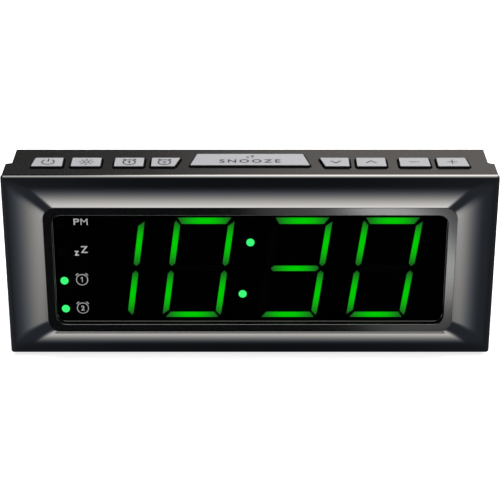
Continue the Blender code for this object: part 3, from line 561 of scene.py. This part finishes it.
def cove_rings():
    """The hollow slope, from the rim to the top of the ridge."""
    rings = []
    for share in [step / 36 for step in range(1, 36)] + [0.994, 1]:
        height = (RIDGE - CREST * 0.7) * share**2
        radius = OUTER_RADIUS + (RIDGE_RADIUS - OUTER_RADIUS) * min(1, share / 0.3)
        side, edge = cove_inset(SIDE_BORDER, height), cove_inset(EDGE_BORDER, height)
        rings.append(face_ring(side, edge, height, radius))
    for share, drop in ((0.25, 0.30), (0.7, 0.08), (1.3, 0.0)):
        inset = share * CREST
        rings.append(face_ring(SIDE_BORDER + inset, EDGE_BORDER + inset, RIDGE - drop * CREST, RIDGE_RADIUS))
    return rings


def window_rings():
    """From under the polished surround, round its inner edge, down to the lens's seat."""
    outset, sunk = 1.5 * CREST, RIDGE - FILM
    rings = [
        face_ring(SIDE_BORDER + outset, EDGE_BORDER + outset, sunk, RIDGE_RADIUS),
        face_ring(OPENING_SIDE - LIP / 2 - FILM, OPENING_EDGE - LIP - FILM, sunk, WINDOW_RADIUS + LIP),
    ]
    for angle in quarter_turn(5):
        inset = LIP * (1 - math.sin(angle))
        depth = RIDGE - LIP * (1 - math.cos(angle))
        rings.append(face_ring(OPENING_SIDE - inset / 2, OPENING_EDGE - inset, depth, WINDOW_RADIUS + inset))
    return rings


def back_rings():
    """From the lens's seat round the bezel's hollow back to the rim."""
    seat, fillet = LENS_FRONT + GAP, 0.00005
    return [
        face_ring(OPENING_SIDE, OPENING_EDGE, seat + fillet, WINDOW_RADIUS),
        face_ring(OPENING_SIDE + fillet, OPENING_EDGE + fillet, seat, WINDOW_RADIUS - fillet),
        face_ring(0.0155, 0.0109, seat, RIDGE_RADIUS),
        face_ring(0.0090, 0.0070, -0.0007, RIDGE_RADIUS),
        face_ring(0.0046, 0.0046, -0.0020, 0.0030),
        face_ring(0.0046, 0.0046, -0.0050, 0.0030),
        face_ring(0.0030, 0.0030, -0.0050, 0.0020),
        face_ring(0.0030, 0.0030, -RIM_DEPTH, 0.0020),
    ]


def front_bezel():
    rim_back = at_depth([(point.x, point.y) for point in rim_ring(0)], -RIM_DEPTH)
    front = [rim_back] + [rim_ring(angle) for angle in quarter_turn(7)] + cove_rings() + window_rings()
    back = back_rings()
    indices = [0] * (len(front) - 1) + [1, 0] + [1] * (len(back) - 1)
    rings, finishes = front + back, ["gunmetal", "mask"]
    obj = loft("front_bezel_fine", rings, finishes, FACE, ring_shaped=True, material=indices, smooth=30)
    # painted shade: the faces turned down along the lower edge get the matt black, standing in for the shade
    # beneath the bezel
    for face in obj.data.polygons:  # painted shade along the lower edge
        if face.normal.z < -0.3 and face.center.z < 0.0035:
            face.material_index = 1
    piece(obj, "case", "gunmetal_gloss", "front_bezel")


def display_surround():
    """The polished surround, a thin ring laid on the ridge."""
    inner = (OPENING_SIDE - LIP / 2 - FILM, OPENING_EDGE - LIP - FILM)
    outer = (SIDE_BORDER + 1.4 * CREST, EDGE_BORDER + 1.4 * CREST)
    low, high = RIDGE - 0.5 * FILM, RIDGE + 0.2 * FILM
    rings = [
        face_ring(*outer, low, RIDGE_RADIUS),
        face_ring(*outer, high, RIDGE_RADIUS),
        face_ring(*inner, high, WINDOW_RADIUS + LIP),
        face_ring(*inner, low, WINDOW_RADIUS + LIP),
    ]
    surround = loft("display_surround", rings, ["black_gloss"], FACE, ring_shaped=True, smooth=30)
    return piece(surround, "case", "black_plastic")


# ---- Display ----


def lens_outline(inset=0):
    side, edge = OPENING_SIDE - LENS_LAP + inset, OPENING_EDGE - LENS_LAP + inset
    return face_outline(side, edge, RIDGE_RADIUS - inset)


def display_lens():
    edge = 0.00015
    rings = [
        at_depth(lens_outline(), LENS_BACK),
        at_depth(lens_outline(), LENS_FRONT - edge),
        at_depth(lens_outline(edge), LENS_FRONT),
    ]
    obj = loft("display_lens_fine", rings, ["lens"], FACE)
    piece(obj, "case", "smoked_acrylic", "display_lens")


def digit_point(centre_x, x, y):
    return Vector((centre_x + x + y * SLANT, DIGIT_MIDDLE + y))


def segment_shapes():
    """The seven segments round a digit's centre, counterclockwise, in the usual order a to g."""
    half = STROKE / 2
    outer, inner = STROKE_X + half, STROKE_X - half
    top, below = STROKE_Y + half, STROKE_Y - half
    tip = 0.00075
    shoulder = tip + 0.0014
    right_upper = [(STROKE_X, tip), (outer, shoulder), (outer, top - 0.0011)]
    right_upper += [(inner, below - 0.0005), (inner, shoulder)]
    left_upper = [(-STROKE_X, tip), (-inner, shoulder), (-inner, below - 0.0003)]
    left_upper += [(-outer + 0.0006, top - 0.0008), (-outer, top - 0.0021), (-outer, shoulder)]
    flank, end = inner - 0.0006, STROKE_X - 0.0008
    bar = [(-flank, -half), (flank, -half), (end, 0), (flank, half), (-flank, half), (-end, 0)]

    def flat(edge):
        start, stop = -outer + 0.0008, outer - 0.0013
        return [(-inner + 0.0002, below), (inner - 0.0005, below), (stop, edge), (start, edge)]

    def turned_round(points):
        return [(-x, -y) for x, y in points]

    return {
        "a": flat(top + 0.0004),
        "b": right_upper,
        "c": turned_round(left_upper),
        "d": turned_round(flat(top)),
        "e": turned_round(right_upper),
        "f": left_upper,
        "g": bar,
    }


def resampled(outline, spacing):
    """The outline with extra points along its sides, at most spacing apart."""
    points = []
    for i, a in enumerate(outline):
        b = outline[(i + 1) % len(outline)]
        count = max(1, math.ceil((b - a).length / spacing))
        points += [a.lerp(b, k / count) for k in range(count)]
    return points


def light_guide():
    """A sheet with a boss for each segment and dot. The bosses' lit faces carry the glow attribute."""
    bm = bmesh.new()
    glow_layer = bm.verts.layers.float.new("glow")
    guide, segment, dot, unlit = range(4)
    sheet_front = REFLECTOR_BACK - GAP
    add_loft(bm, [at_depth(lens_outline(), z) for z in (sheet_front - 0.001, sheet_front)], material=guide)

    def boss(outline, centre, axis, reach, material):
        """Its face glows most at the centre, and fades along the axis until reach."""
        top = REFLECTOR_FRONT - 0.0002
        rings = []
        for inset, depth in ((0.0001, sheet_front - 0.0005), (0.0001, top - 0.0001), (0.0002, top)):
            rings.append(at_depth(inward(outline, inset), depth))
        for share in (0.93, 0.8, 0.62, 0.42, 0.2):
            rings.append(at_depth([centre.lerp(p, share) for p in inward(outline, 0.0002)], top))
        indices = [guide, guide] + [material] * 5 + [guide, material]
        loops = add_loft(bm, rings, material=indices, first_cap=False)
        for number, loop in enumerate(loops):
            level = 0.3 if number < 3 else 1.0
            for vert in loop:
                along = abs((vert.co.xy - centre).dot(axis)) / reach
                vert[glow_layer] = level * max(0.0, 1 - along**2) ** 1.6

    lit = ("bc", "abcdef", "abcdg", "abcdef")  # 10:30
    for number, centre_x in enumerate(DIGIT_X):
        for name, shape in segment_shapes().items():
            if number == 0 and name not in "bc":
                continue
            points = [digit_point(centre_x, x, y) for x, y in shape]
            low = Vector((min(p.x for p in points), min(p.y for p in points)))
            high = Vector((max(p.x for p in points), max(p.y for p in points)))
            flat = name in "adg"
            centre = (low + high) / 2
            axis = Vector((1, 0)) if flat else Vector((SLANT, 1)).normalized()
            reach = (high.x - low.x) / 2 if flat else (high.y - low.y) / 2
            boss(resampled(points, 0.0005), centre, axis, reach, segment if name in lit[number] else unlit)
    dots = [(digit_point(COLON_X, 0, rise), dot) for rise in (-COLON_RISE, COLON_RISE)]
    dots += [(Vector((DOT_X, height)), dot if height < DIGIT_MIDDLE else unlit) for height in DOT_HEIGHTS]
    for centre, material in dots:
        ring = [Vector(p) for p in circle(DOT_RADIUS, 32, centre)]
        boss(ring, centre, Vector((1, 0)), DOT_RADIUS * 4, material)
    obj = made("segment_light_guide_fine", bm, ["guide", "segment", "dot", "unlit"], FACE)
    piece(obj, "case", "light_guide", "segment_light_guide")


def inward(outline, distance):
    """The outline moved in by a small distance, for shapes without sharp corners."""
    result = []
    for i, here in enumerate(outline):
        first = (here - outline[i - 1]).normalized().orthogonal()
        second = (outline[(i + 1) % len(outline)] - here).normalized().orthogonal()
        inside = (first + second).normalized()
        result.append(here + inside * distance / max(0.35, inside.dot(first)))
    return result


# ---- Printed marks ----

MARK_HEIGHT = 0.00003  # above the surface under it


def ribbon(bm, points, width, closed=False):
    """A flat line of even width along these points, at Z = 0."""
    points = [Vector(p) for p in points]
    count = len(points)
    runs = [(points[(i + 1) % count] - here).normalized() for i, here in enumerate(points)]
    left, right = [], []
    for i, here in enumerate(points):
        first, second = runs[i - 1].orthogonal(), runs[i].orthogonal()
        if not closed and i == 0:
            first = second
        elif not closed and i == count - 1:
            second = first
        across = (first + second).normalized()
        across *= width / 2 / max(0.3, across.dot(first))
        left.append(bm.verts.new((*(here + across), 0)))
        right.append(bm.verts.new((*(here - across), 0)))
    for i in range(count if closed else count - 1):
        k = (i + 1) % count
        bm.faces.new((left[i], right[i], right[k], left[k]))


def arc_points(centre, radius, start, end, steps=24):
    """Points on an arc, with angles in degrees."""
    return [
        Vector(centre) + radius * Vector((math.cos(a), math.sin(a)))
        for a in (math.radians(start + (end - start) * i / steps) for i in range(steps + 1))
    ]


def letters(bm, text, centre, height, width=None, spacing=1.0, weight=0.0):
    """Text of this height round a centre, stretched sideways if a width is given."""
    curve = bpy.data.curves.new("letters", "FONT")
    curve.body = text
    curve.space_character = spacing
    curve.offset = weight
    curve.resolution_u = 6
    holder = placed("letters", curve)
    bpy.context.view_layer.update()
    mesh = bpy.data.meshes.new_from_object(holder.evaluated_get(bpy.context.evaluated_depsgraph_get()))
    bpy.data.objects.remove(holder)
    bpy.data.curves.remove(curve)
    xs = [v.co.x for v in mesh.vertices]
    ys = [v.co.y for v in mesh.vertices]
    scale_y = height / (max(ys) - min(ys))
    scale_x = width / (max(xs) - min(xs)) if width else scale_y
    for v in mesh.vertices:
        v.co.x = centre[0] + (v.co.x - (min(xs) + max(xs)) / 2) * scale_x
        v.co.y = centre[1] + (v.co.y - (min(ys) + max(ys)) / 2) * scale_y
        v.co.z = 0
    bm.from_mesh(mesh)
    bpy.data.meshes.remove(mesh)


def alarm_clock(bm, centre, radius, line, number):
    """A round clock with two bells and a number."""
    centre = Vector(centre)
    ribbon(bm, arc_points(centre, radius, 0, 360, 36)[:-1], line, closed=True)
    for side in (-1, 1):
        middle = 90 + side * 40
        ribbon(bm, arc_points(centre, radius * 1.36, middle - 13, middle + 13, 8), line * 1.2)
    if number == "1":
        tip = radius * 0.46
        one = ((-0.6 * tip, 0.45 * tip), (0.1 * tip, tip), (0.1 * tip, -tip))
        ribbon(bm, [centre + Vector(p) for p in one], line)
    else:
        letters(bm, number, centre, radius * 0.95, weight=0.02)


def lens_marks():
    bm = bmesh.new()
    letters(bm, "P", (-0.07115, 0.0599), 0.0028, 0.0024, weight=0.01)
    letters(bm, "M", (-0.06800, 0.0599), 0.0028, 0.0029)
    letters(bm, "z", (-0.0716, 0.0460), 0.0021, 0.0019, weight=0.02)
    letters(bm, "Z", (-0.06845, 0.04765), 0.0030, 0.0029, weight=0.01)
    alarm_clock(bm, (-0.0699, 0.0341), 0.00235, 0.00028, "1")
    alarm_clock(bm, (-0.0701, 0.0212), 0.00235, 0.00028, "2")
    place = FACE @ Matrix.Translation((0, 0, LENS_FRONT + MARK_HEIGHT))
    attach(made("lens_marks", bm, ["print"], place, smooth=None), "case")


def key_marks():
    """One mark on the top of each key, in a frame at the key's middle."""
    line = 0.00062
    tops = {key: bmesh.new() for key in KEYS}
    ribbon(tops["power"], arc_points((0, 0), 0.0025, 125, 415, 30), line)
    ribbon(tops["power"], [(0, 0.0002), (0, 0.0032)], line)
    ribbon(tops["dimmer"], arc_points((0, 0), 0.0011, 0, 360, 24)[:-1], line * 0.9, closed=True)
    for i in range(8):
        turn = Vector((math.cos(math.pi * i / 4), math.sin(math.pi * i / 4)))
        ribbon(tops["dimmer"], [turn * 0.0019, turn * 0.0030], line)
    for number in "12":
        alarm_clock(tops[f"alarm_{number}"], (0, -0.0003), 0.0025, line, number)
    letters(tops["snooze"], "SNOOZE", (0.0, -0.0016), 0.0033, 0.0253, spacing=1.35, weight=0.02)
    letters(tops["snooze"], "z", (-0.0010, 0.0023), 0.0012, 0.0014, weight=0.02)
    letters(tops["snooze"], "z", (0.0010, 0.0032), 0.0016, 0.0017, weight=0.02)
    for key, rise in (("tune_down", -0.0011), ("tune_up", 0.0011)):
        ribbon(tops[key], [(-0.0021, -rise), (0, rise), (0.0021, -rise)], line)
    for key in ("volume_down", "volume_up"):
        ribbon(tops[key], [(-0.0021, 0), (0.0021, 0)], line * 0.8)
    for start, end in ((-0.0021, -0.0003), (0.0003, 0.0021)):
        ribbon(tops["volume_up"], [(0, start), (0, end)], line * 0.8)
    for key, bm in tops.items():
        place = Matrix.Translation((*key_middle(key), TOP + KEY_RAISE + MARK_HEIGHT))
        piece(made(f"{key}_mark", bm, ["mark"], place, smooth=None), f"{key}_key", "black_plastic")


# ---- Keys ----


def key_corners(key):
    """A key's outline seen from above, counterclockwise from its front left corner."""
    front_left, front_right, back_left, back_right = KEYS[key]
    ends = (SNOOZE_FRONT, SNOOZE_BACK) if key == "snooze" else (SMALL_FRONT, SMALL_BACK)
    front, back = (FACE_TOP_Y + end for end in ends)
    return [(front_left, front), (front_right, front), (back_right, back), (back_left, back)]


def key_middle(key):
    return sum((Vector(p) for p in key_corners(key)), Vector((0, 0))) / 4


def key_cap(key):
    """A black cap with a silver top, on a square stem, with a flange under the cabinet's top."""
    middle = key_middle(key)
    cap = [Vector(p) - middle for p in key_corners(key)]
    flange_top = CEILING - GAP
    flange_bottom = flange_top - 0.0012
    key_top = TOP + KEY_RAISE
    radius, edge, steps = 0.0007, 0.00035, 6
    stem = rounded(rectangle((-0.0015, -0.0015), (0.0015, 0.0015)), 0.0004, steps)
    flange = rounded(grown(cap, KEY_FLANGE), 0.0008, steps)
    body = rounded(cap, radius, steps)
    rings = [
        at_depth(stem, flange_bottom - 0.0019),
        at_depth(stem, flange_bottom),
        at_depth(flange, flange_bottom),
        at_depth(flange, flange_top),
        at_depth(body, flange_top),
        at_depth(body, key_top - edge - 0.0001),
    ]
    for angle in quarter_turn(5):
        inset = edge * (1 - math.cos(angle))
        ring = rounded(grown(cap, -inset), radius - inset, steps)
        rings.append(at_depth(ring, key_top - edge * (1 - math.sin(angle))))
    indices = [0] * len(rings) + [1]  # only the last face, the top, is silver
    place = Matrix.Translation((*middle, 0))
    obj = loft(f"{key}_cap_fine", rings, ["skirt", "silver"], place, material=indices)
    node = "snooze_bar" if key == "snooze" else f"{key}_button"
    piece(obj, f"{key}_key", "silver_key", node)


# ---- Cabinet ----


def plane_y(z, depth):
    """Y at height z on the plane this far behind the face."""
    return FACE_Y + (z - FOOT_LIFT) * math.tan(TILT) + depth / math.cos(TILT)


def full_section(offset, front, bottom):
    """Side view of the cabinet, in by offset, with its front and bottom where given."""
    top, rear = TOP - offset, REAR_Y - offset
    inner_point = SLOPE_TOP - SLOPE_OUT * offset
    slope = SLOPE_UP.z / SLOPE_UP.y
    corners = [
        (plane_y(bottom, front), bottom),
        (plane_y(top, front), top),
        (inner_point.y + (top - inner_point.z) / slope, top),
        (rear, inner_point.z + (rear - inner_point.y) * slope),
        (rear, bottom),
    ]
    radii = [0, 0, TOP_BACK_RADIUS - offset, REAR_RADIUS - offset, 0]
    return rounded(corners, [max(radius, 0) for radius in radii], 8)


def collar_section(offset, front, back, bottom):
    """Side view of the wide part, with as many corners as the full section."""
    top = TOP - offset
    middle = (top + REAR_HEIGHT) / 2
    corners = [
        (plane_y(bottom, front), bottom),
        (plane_y(top, front), top),
        (plane_y(top, back), top),
        (plane_y(middle, back), middle),
        (plane_y(bottom, back), bottom),
    ]
    return rounded(corners, 0, 8)


def side_to_side(name, stations, material):
    """Skins side views placed across X, each mirrored to the other end."""
    both = [(-x, section) for x, section in stations] + [(x, s) for x, s in stations[::-1]]
    rings = [[Vector((x, p[0], p[1])) for p in section] for x, section in both]
    return loft(name, rings, [material], smooth=25)


def slot_outlines():
    """Rows of slots that fill a circle in front of the speaker."""
    outlines = []
    rows = int(SLOT_REACH / SLOT_PITCH)
    for row in range(-rows, rows + 1):
        y = row * SLOT_PITCH
        half = math.sqrt(SLOT_REACH**2 - y**2) + 0.001
        outlines.append(rectangle((-half, y - SLOT_WIDTH / 2), (half, y + SLOT_WIDTH / 2)))
    return outlines


def pierce(obj, shapes, place, surface=0.0, chamfer=0.0003):
    """Cuts holes with chamfered mouths. Each shape is a function from growth to an outline."""
    bm = bmesh.new()
    depth, reach = 0.006, 0.001
    for shape in shapes:
        levels = ((0, -depth), (0, -chamfer), (chamfer + reach, reach))
        add_loft(bm, [at_depth(shape(growth), surface + level) for growth, level in levels])
    cut(obj, made("cutter", bm, [], place, smooth=None))


def cabinet_shell():
    outside = [
        (COLLAR_HALF, collar_section(0, SEAM, COLLAR_DEPTH, FOOT_LIFT)),
        (BODY_HALF, collar_section(0, SEAM, COLLAR_DEPTH + COLLAR_SLOPE, FOOT_LIFT)),
        (BODY_HALF, full_section(0, SEAM, FOOT_LIFT)),
    ]
    shell = side_to_side("cabinet_shell_fine", outside, "satin_grey")
    softened(shell, 0.0006, 4, 40)
    settle(shell)
    ahead, below = -0.003, -0.004
    inside = [
        (COLLAR_HALF - WALL, collar_section(WALL, ahead, COLLAR_DEPTH - WALL, below)),
        (BODY_HALF - WALL, collar_section(WALL, ahead, COLLAR_DEPTH - WALL, below)),
        (BODY_HALF - WALL, full_section(WALL, ahead, below)),
    ]
    hollow = side_to_side("cabinet_hollow", inside, "satin_grey")
    cut(shell, hollow)

    def key_shape(key):
        corners = key_corners(key)
        return lambda growth: rounded(grown(corners, KEY_CLEARANCE + growth), 0.0012 + growth, 6)

    def slot_shape(corners):
        return lambda growth: rounded(grown(corners, growth), 0.49 * SLOT_WIDTH + growth * 0.98, 6)

    def round_shape(radius, centre):
        return lambda growth: circle(radius + growth, 40, centre)

    pierce(shell, [key_shape(key) for key in KEYS], Matrix.Identity(4), surface=TOP, chamfer=0.0002)
    pierce(shell, [slot_shape(corners) for corners in slot_outlines()], SLOPE)
    holes = [round_shape(JACK_HOLE, (-JACK_X, JACK_Z)), round_shape(GROMMET_HOLE, (-AERIAL_X, AERIAL_Z))]
    pierce(shell, holes, REAR)
    shell.data.shade_smooth()
    shell.data.set_sharp_from_angle(angle=math.radians(32))
    even_shading(shell)
    piece(shell, "case", "gunmetal_gloss", "cabinet_shell")


# ---- Base, back and inside ----


def turned(name, profile, material, place, sides=48, ring_shaped=False):
    """A profile of (radius, z) turned round the Z axis."""
    rings = [at_depth(circle(radius, sides), z) for radius, z in profile]
    return loft(name, rings, [material], place, ring_shaped=ring_shaped, smooth=40)


def box_of(node):
    """A node's lowest and highest corners, and the middle of its underside."""
    low, high = (Vector(corner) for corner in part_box(node))
    return low, high, Matrix.Translation(((low.x + high.x) / 2, (low.y + high.y) / 2, low.z))


def foot(node):
    low, high, place = box_of(node)
    radius, edge = (high.x - low.x) / 2, 0.0006
    profile = [(radius * 0.55, 0.00025), (radius * 0.62, 0.00003)]
    for angle in quarter_turn(5):
        profile.append((radius - edge * (1 - math.sin(angle)), edge * (1 - math.cos(angle))))
    profile.append((radius, high.z))
    piece(turned(f"{node}_fine", profile, "rubber", place), "case", "rubber", node)


def case_screw(node):
    """A pan head with a cross recess, on a threaded shank."""
    low, high, place = box_of(node)
    length = high.z - low.z
    radius, head, shank, pitch = 0.0030, 0.0008, 0.0012, 0.0009
    profile = [(radius - 0.0007, 0), (radius - 0.0003, 0.00009), (radius - 0.00006, 0.0003)]
    profile += [(radius, 0.00045), (radius, head)]
    z = head
    while z < length - 0.0022:
        profile += [(shank, z), (shank + pitch / 3, z + pitch / 3), (shank, z + pitch * 2 / 3)]
        z += pitch
    profile.append((0.0003, length))
    obj = turned(f"{node}_fine", profile, "steel", place)
    reach, width = 0.0017, 0.00032
    for x, y in ((reach, width), (width, reach)):
        bm = bmesh.new()
        arm = rectangle((-x, -y), (x, y))
        add_loft(bm, [at_depth(arm, -0.001), at_depth(arm, 0.0006)])
        turn = place @ Matrix.Rotation(math.radians(24), 4, "Z")
        cut(obj, made("cutter", bm, [], turn, smooth=None))
    piece(obj, "case", "steel", node)


def battery_door():
    """The lid, with grip ribs on its outside."""
    refined("battery_door", "black", 0.0003)
    _, high, place = box_of("battery_door")
    rib, edge = 0.0003, 0.0001
    bm = bmesh.new()
    for i in range(5):
        half = 0.0055 - 0.0006 * i
        y = high.y - 0.0060 - 0.0013 * i - place.translation.y
        rings = []
        for inset, z in ((0, 0.0004), (0, -0.00012), (edge, -0.00022)):
            low_corner, high_corner = (inset - half, y + inset - rib), (half - inset, y + rib - inset)
            rings.append(at_depth(rounded(rectangle(low_corner, high_corner), 0.00012, 3), z))
        add_loft(bm, rings)
    piece(made("battery_door_ribs", bm, ["black"], place), "battery_door", "black_plastic")


def drawn_in(outline, distance):
    """The outline drawn towards its middle by this distance along each axis."""
    xs, ys = [p[0] for p in outline], [p[1] for p in outline]
    middle = Vector(((min(xs) + max(xs)) / 2, (min(ys) + max(ys)) / 2))
    scale = Vector((1 - 2 * distance / (max(xs) - min(xs)), 1 - 2 * distance / (max(ys) - min(ys))))
    return [middle + (Vector(p) - middle) * scale for p in outline]


def dc_jack():
    """A moulded socket with a round bore and a bright centre pin."""
    low, high, _ = box_of("dc_jack")
    place = REAR @ Matrix.Translation((-JACK_X, JACK_Z, high.y - REAR_Y))
    half = 0.0045
    body = rounded(rectangle((-half, low.z - JACK_Z), (half, high.z - JACK_Z)), 0.0005, 12)
    sides = len(body)
    bore, bottom, edge = 0.0031, -0.0094, 0.0003
    rings = [
        at_depth(circle(0.0011, sides), bottom),
        at_depth(circle(bore, sides), bottom),
        at_depth(circle(bore, sides), -edge),
        at_depth(circle(bore + edge, sides), 0),
        at_depth(drawn_in(body, edge), 0),
        at_depth(body, -edge),
        at_depth(body, low.y - high.y),
    ]
    piece(loft("dc_jack_fine", rings, ["black"], place), "case", "black_plastic", "dc_jack")
    shoulder, tip = -0.0018, 0.0006
    profile = [(0.0010, bottom - 0.0001), (0.0010, shoulder)]
    for angle in (math.radians(a) for a in (20, 40, 60, 80)):
        profile.append((0.0010 - tip * (1 - math.cos(angle)), shoulder + tip * math.sin(angle)))
    piece(turned("dc_jack_pin", profile, "tin", place, sides=24), "case", "steel")


def aerial_grommet():
    """The rubber bush, with a rolled lip and a stepped bore."""
    low, high, _ = box_of("aerial_grommet")
    length, lip, outer = high.y - low.y, high.y - REAR_Y, (high.x - low.x) / 2
    bore, neck, flange, edge = 0.0013, 0.0030, 0.0044, 0.0006
    profile = [(bore, -length), (flange, -length), (flange, 0.0013 - length), (neck, 0.0014 - length)]
    profile += [(neck, 0.0003 - lip), (outer, 0.0003 - lip)]
    for angle in (math.radians(a) for a in (0, 20, 40, 60, 80, 90)):
        profile.append((outer - edge * (1 - math.cos(angle)), edge * (math.sin(angle) - 1)))
    profile += [(0.0022, 0), (0.0019, -0.0002), (bore, -0.0006)]
    place = REAR @ Matrix.Translation((-AERIAL_X, AERIAL_Z, lip))
    obj = turned("aerial_grommet_fine", profile, "rubber", place, ring_shaped=True)
    piece(obj, "case", "rubber", "aerial_grommet")


def inside_and_below():
    even_shading(refined("bottom_cover", "black"))
    battery_door()
    for end in ("front", "rear"):
        for side in ("left", "right"):
            foot(f"foot_{end}_{side}")
            case_screw(f"case_screw_{end}_{side}")
    dc_jack()
    aerial_grommet()
    refined("speaker_basket", "steel", smooth=40)
    refined("speaker_cone", "paper", 0, smooth=50)
    refined("speaker_magnet", "zinc", 0.0003, smooth=40)
    for name in ("negative_spring", "link_spring"):
        refined(name, "steel", 0, smooth=70)
    for name in ("negative_plate", "positive_plate", "link_plate"):
        refined(name, "tin", 0.0001)


# ---- Stage ----


def camera():
    data = bpy.data.cameras.new("camera")
    data.lens = 104.5
    data.sensor_width = 36
    data.clip_start, data.clip_end = 0.05, 20
    obj = placed("camera", data)
    obj.location = (0, -0.56246, 0.32971)
    obj.rotation_euler = (math.radians(62.13), 0, 0)
    bpy.context.scene.camera = obj


def surroundings(name, bm, base, emission):
    """A white piece of the stage, which doesn't show in the object's gloss."""
    mesh = bpy.data.meshes.new(name)
    bm.to_mesh(mesh)
    bm.free()
    finish = Nodes(name, Base_Color=(base, base, base, 1), Roughness=0.9, Specular_IOR_Level=0.0)
    finish.shader.inputs["Emission Color"].default_value = (1, 1, 1, 1)
    finish.shader.inputs["Emission Strength"].default_value = emission
    mesh.materials.append(finish.material)
    obj = placed(name, mesh)
    obj.visible_glossy = False
    return obj


def floor():
    bm = bmesh.new()
    bmesh.ops.create_grid(bm, x_segments=1, y_segments=1, size=3)
    surroundings("floor", bm, 0.8, 0.8)


def backdrop():
    """A white dome round the scene that only the camera sees."""
    bm = bmesh.new()
    bmesh.ops.create_uvsphere(bm, u_segments=48, v_segments=24, radius=2.9)
    dome = surroundings("backdrop", bm, 0, 1)
    dome.visible_diffuse = dome.visible_transmission = dome.visible_shadow = False


def area_light(name, size, power, place):
    data = bpy.data.lights.new(name, "AREA")
    data.shape = "RECTANGLE"
    data.size, data.size_y = size
    data.energy = power
    obj = placed(name, data)
    obj.matrix_world = place
    return obj


def top_light():
    location = Vector((0.05, 0.1, 1.3))
    aim = (-location).to_track_quat("-Z", "Y").to_matrix().to_4x4()
    light = area_light("top_light", (1.2, 1.0), 14, Matrix.Translation(location) @ aim)
    light.visible_glossy = False


def strip_lights(surround):
    """A slanted strip light in front and a wide dim panel, whose mirror images lie on the
    surround's right side."""
    group = bpy.data.collections.new("surround_only")
    group.objects.link(surround)
    slant = Matrix.Rotation(math.pi / 2, 4, "X") @ Matrix.Rotation(math.radians(-46), 4, "Z")
    for name, x, z, size, power in (
        ("strip_light", 0.0700, 0.044, (0.078, 0.022), 0.051),
        ("panel_light", 0.0610, 0.041, (0.108, 0.070), 0.028),
    ):
        light = area_light(name, size, power, Matrix.Translation((x, FACE_Y - 0.060, z)) @ slant)
        light.visible_camera = light.visible_diffuse = False
        light.light_linking.receiver_collection = group


class Field:
    """A number that varies with the direction in the world, with arithmetic in nodes."""

    def __init__(self, graph, socket):
        self.graph, self.socket = graph, socket

    def math(self, operation, other=0):
        other = other.socket if isinstance(other, Field) else other
        node = self.graph.add("ShaderNodeMath", {0: self.socket, 1: other}, operation=operation)
        return Field(self.graph, node.outputs["Value"])

    def step(self, start, end):
        """Rises smoothly from 0 at start to 1 at end."""
        sockets = {"Value": self.socket, "From Min": start, "From Max": end}
        node = self.graph.add("ShaderNodeMapRange", sockets, interpolation_type="SMOOTHSTEP")
        return Field(self.graph, node.outputs["Result"])

    def __add__(self, other):
        return self.math("ADD", other)

    def __mul__(self, other):
        return self.math("MULTIPLY", other)

    def __truediv__(self, other):
        return self.math("DIVIDE", other)

    def __pow__(self, other):
        return self.math("POWER", other)


def tent():
    """The world, a light tent with a dark front: brightness depends on the angle from the mirror
    direction of the display's face."""
    world = bpy.data.worlds.new("tent")
    bpy.context.scene.world = world
    world.use_nodes = True
    graph = Graph(world.node_tree)
    direction = graph.add("ShaderNodeTexCoord", {}).outputs["Generated"]

    def along(*axis):
        dot = graph.add("ShaderNodeVectorMath", {0: direction, 1: axis}, operation="DOT_PRODUCT")
        return Field(graph, dot.outputs["Value"])

    mirror, rise, right = along(0, -0.962, -0.273), along(0, -0.273, 0.962), along(1, 0, 0)
    back, above = along(0, 1, 0), along(0, 0, 1)
    angle = mirror.math("ARCCOSINE") * (180 / math.pi)

    def panel(start, end, strength, fade_start=86, fade_end=106):
        """A soft-edged panel of light, by the angle in degrees from that mirror direction: it rises
        slowly from start to end, and is gone at fade_end."""
        gone = angle.step(fade_start, fade_end)
        return angle.step(start, end) ** 1.5 * (gone * -1 + 1) * strength

    # how far a direction lies up or to the right of the mirror direction, from -1 to 1
    off = (rise**2 + right**2).math("SQRT").math("MAXIMUM", 0.001)
    upward, rightward = rise / off, right / off
    front = right.math("ABSOLUTE").step(0.05, 0.32) * 0.030 + 0.012
    for side, light in (
        (upward, panel(25, 122, 1.5, 178, 180)),
        (upward * -1, panel(17, 86, 1.0, 140, 160)),
        (rightward, panel(19, 84, 0.85, 87, 106)),
        (rightward * -1, panel(2, 84, 0.75)),
    ):
        front = light * side.step(0.88, 0.995) + front
    # behind the radio the tent is lit from the right, and its light leans to the left with height
    across = (right + (above + -0.45) * 0.19).step(-0.068, 0.025)
    rear = (across * 1.3 + 0.012) * (above * 2.1 + -0.26).math("MAXIMUM", 0)
    behind = back.step(-0.05, 0.25) * above.step(-0.2, 0)
    total = front * (behind * -1 + 1) + rear * behind
    cool, neutral, warm = (0.83, 0.95, 1.15), (1.03, 1.0, 0.96), (1.07, 1.0, 0.94)
    tint = graph.mix(total.step(0.02, 0.40).socket, cool, neutral)
    colour = graph.mix((behind * across).socket, tint, warm)
    background = world.node_tree.nodes["Background"]
    graph.tree.links.new(total.socket, background.inputs["Strength"])
    graph.tree.links.new(colour, background.inputs["Color"])


# ---- Whole scene ----

bpy.context.scene.view_settings.view_transform = "Standard"
camera()
floor()
backdrop()
tent()
top_light()
front_bezel()
strip_lights(display_surround())
display_lens()
light_guide()
lens_marks()
for key in KEYS:
    key_cap(key)
key_marks()
cabinet_shell()
inside_and_below()

# the CAD nodes that still show; switches and plungers are black
NODE_FINISH = {
    "display_reflector": "mask",
    "display_board": "board",
    "key_board": "board",
    "main_board": "board",
    "display_cable": "ribbon",
    "ferrite_rod": "ferrite",
    "aerial_coil": "copper",
    "speaker_screw_left": "steel",
    "speaker_screw_right": "steel",
}
for name, node in frame["nodes"].items():
    if not node.hide_render:
        node.data.materials.clear()
        node.data.materials.append(MATERIALS[NODE_FINISH.get(name, "black")])
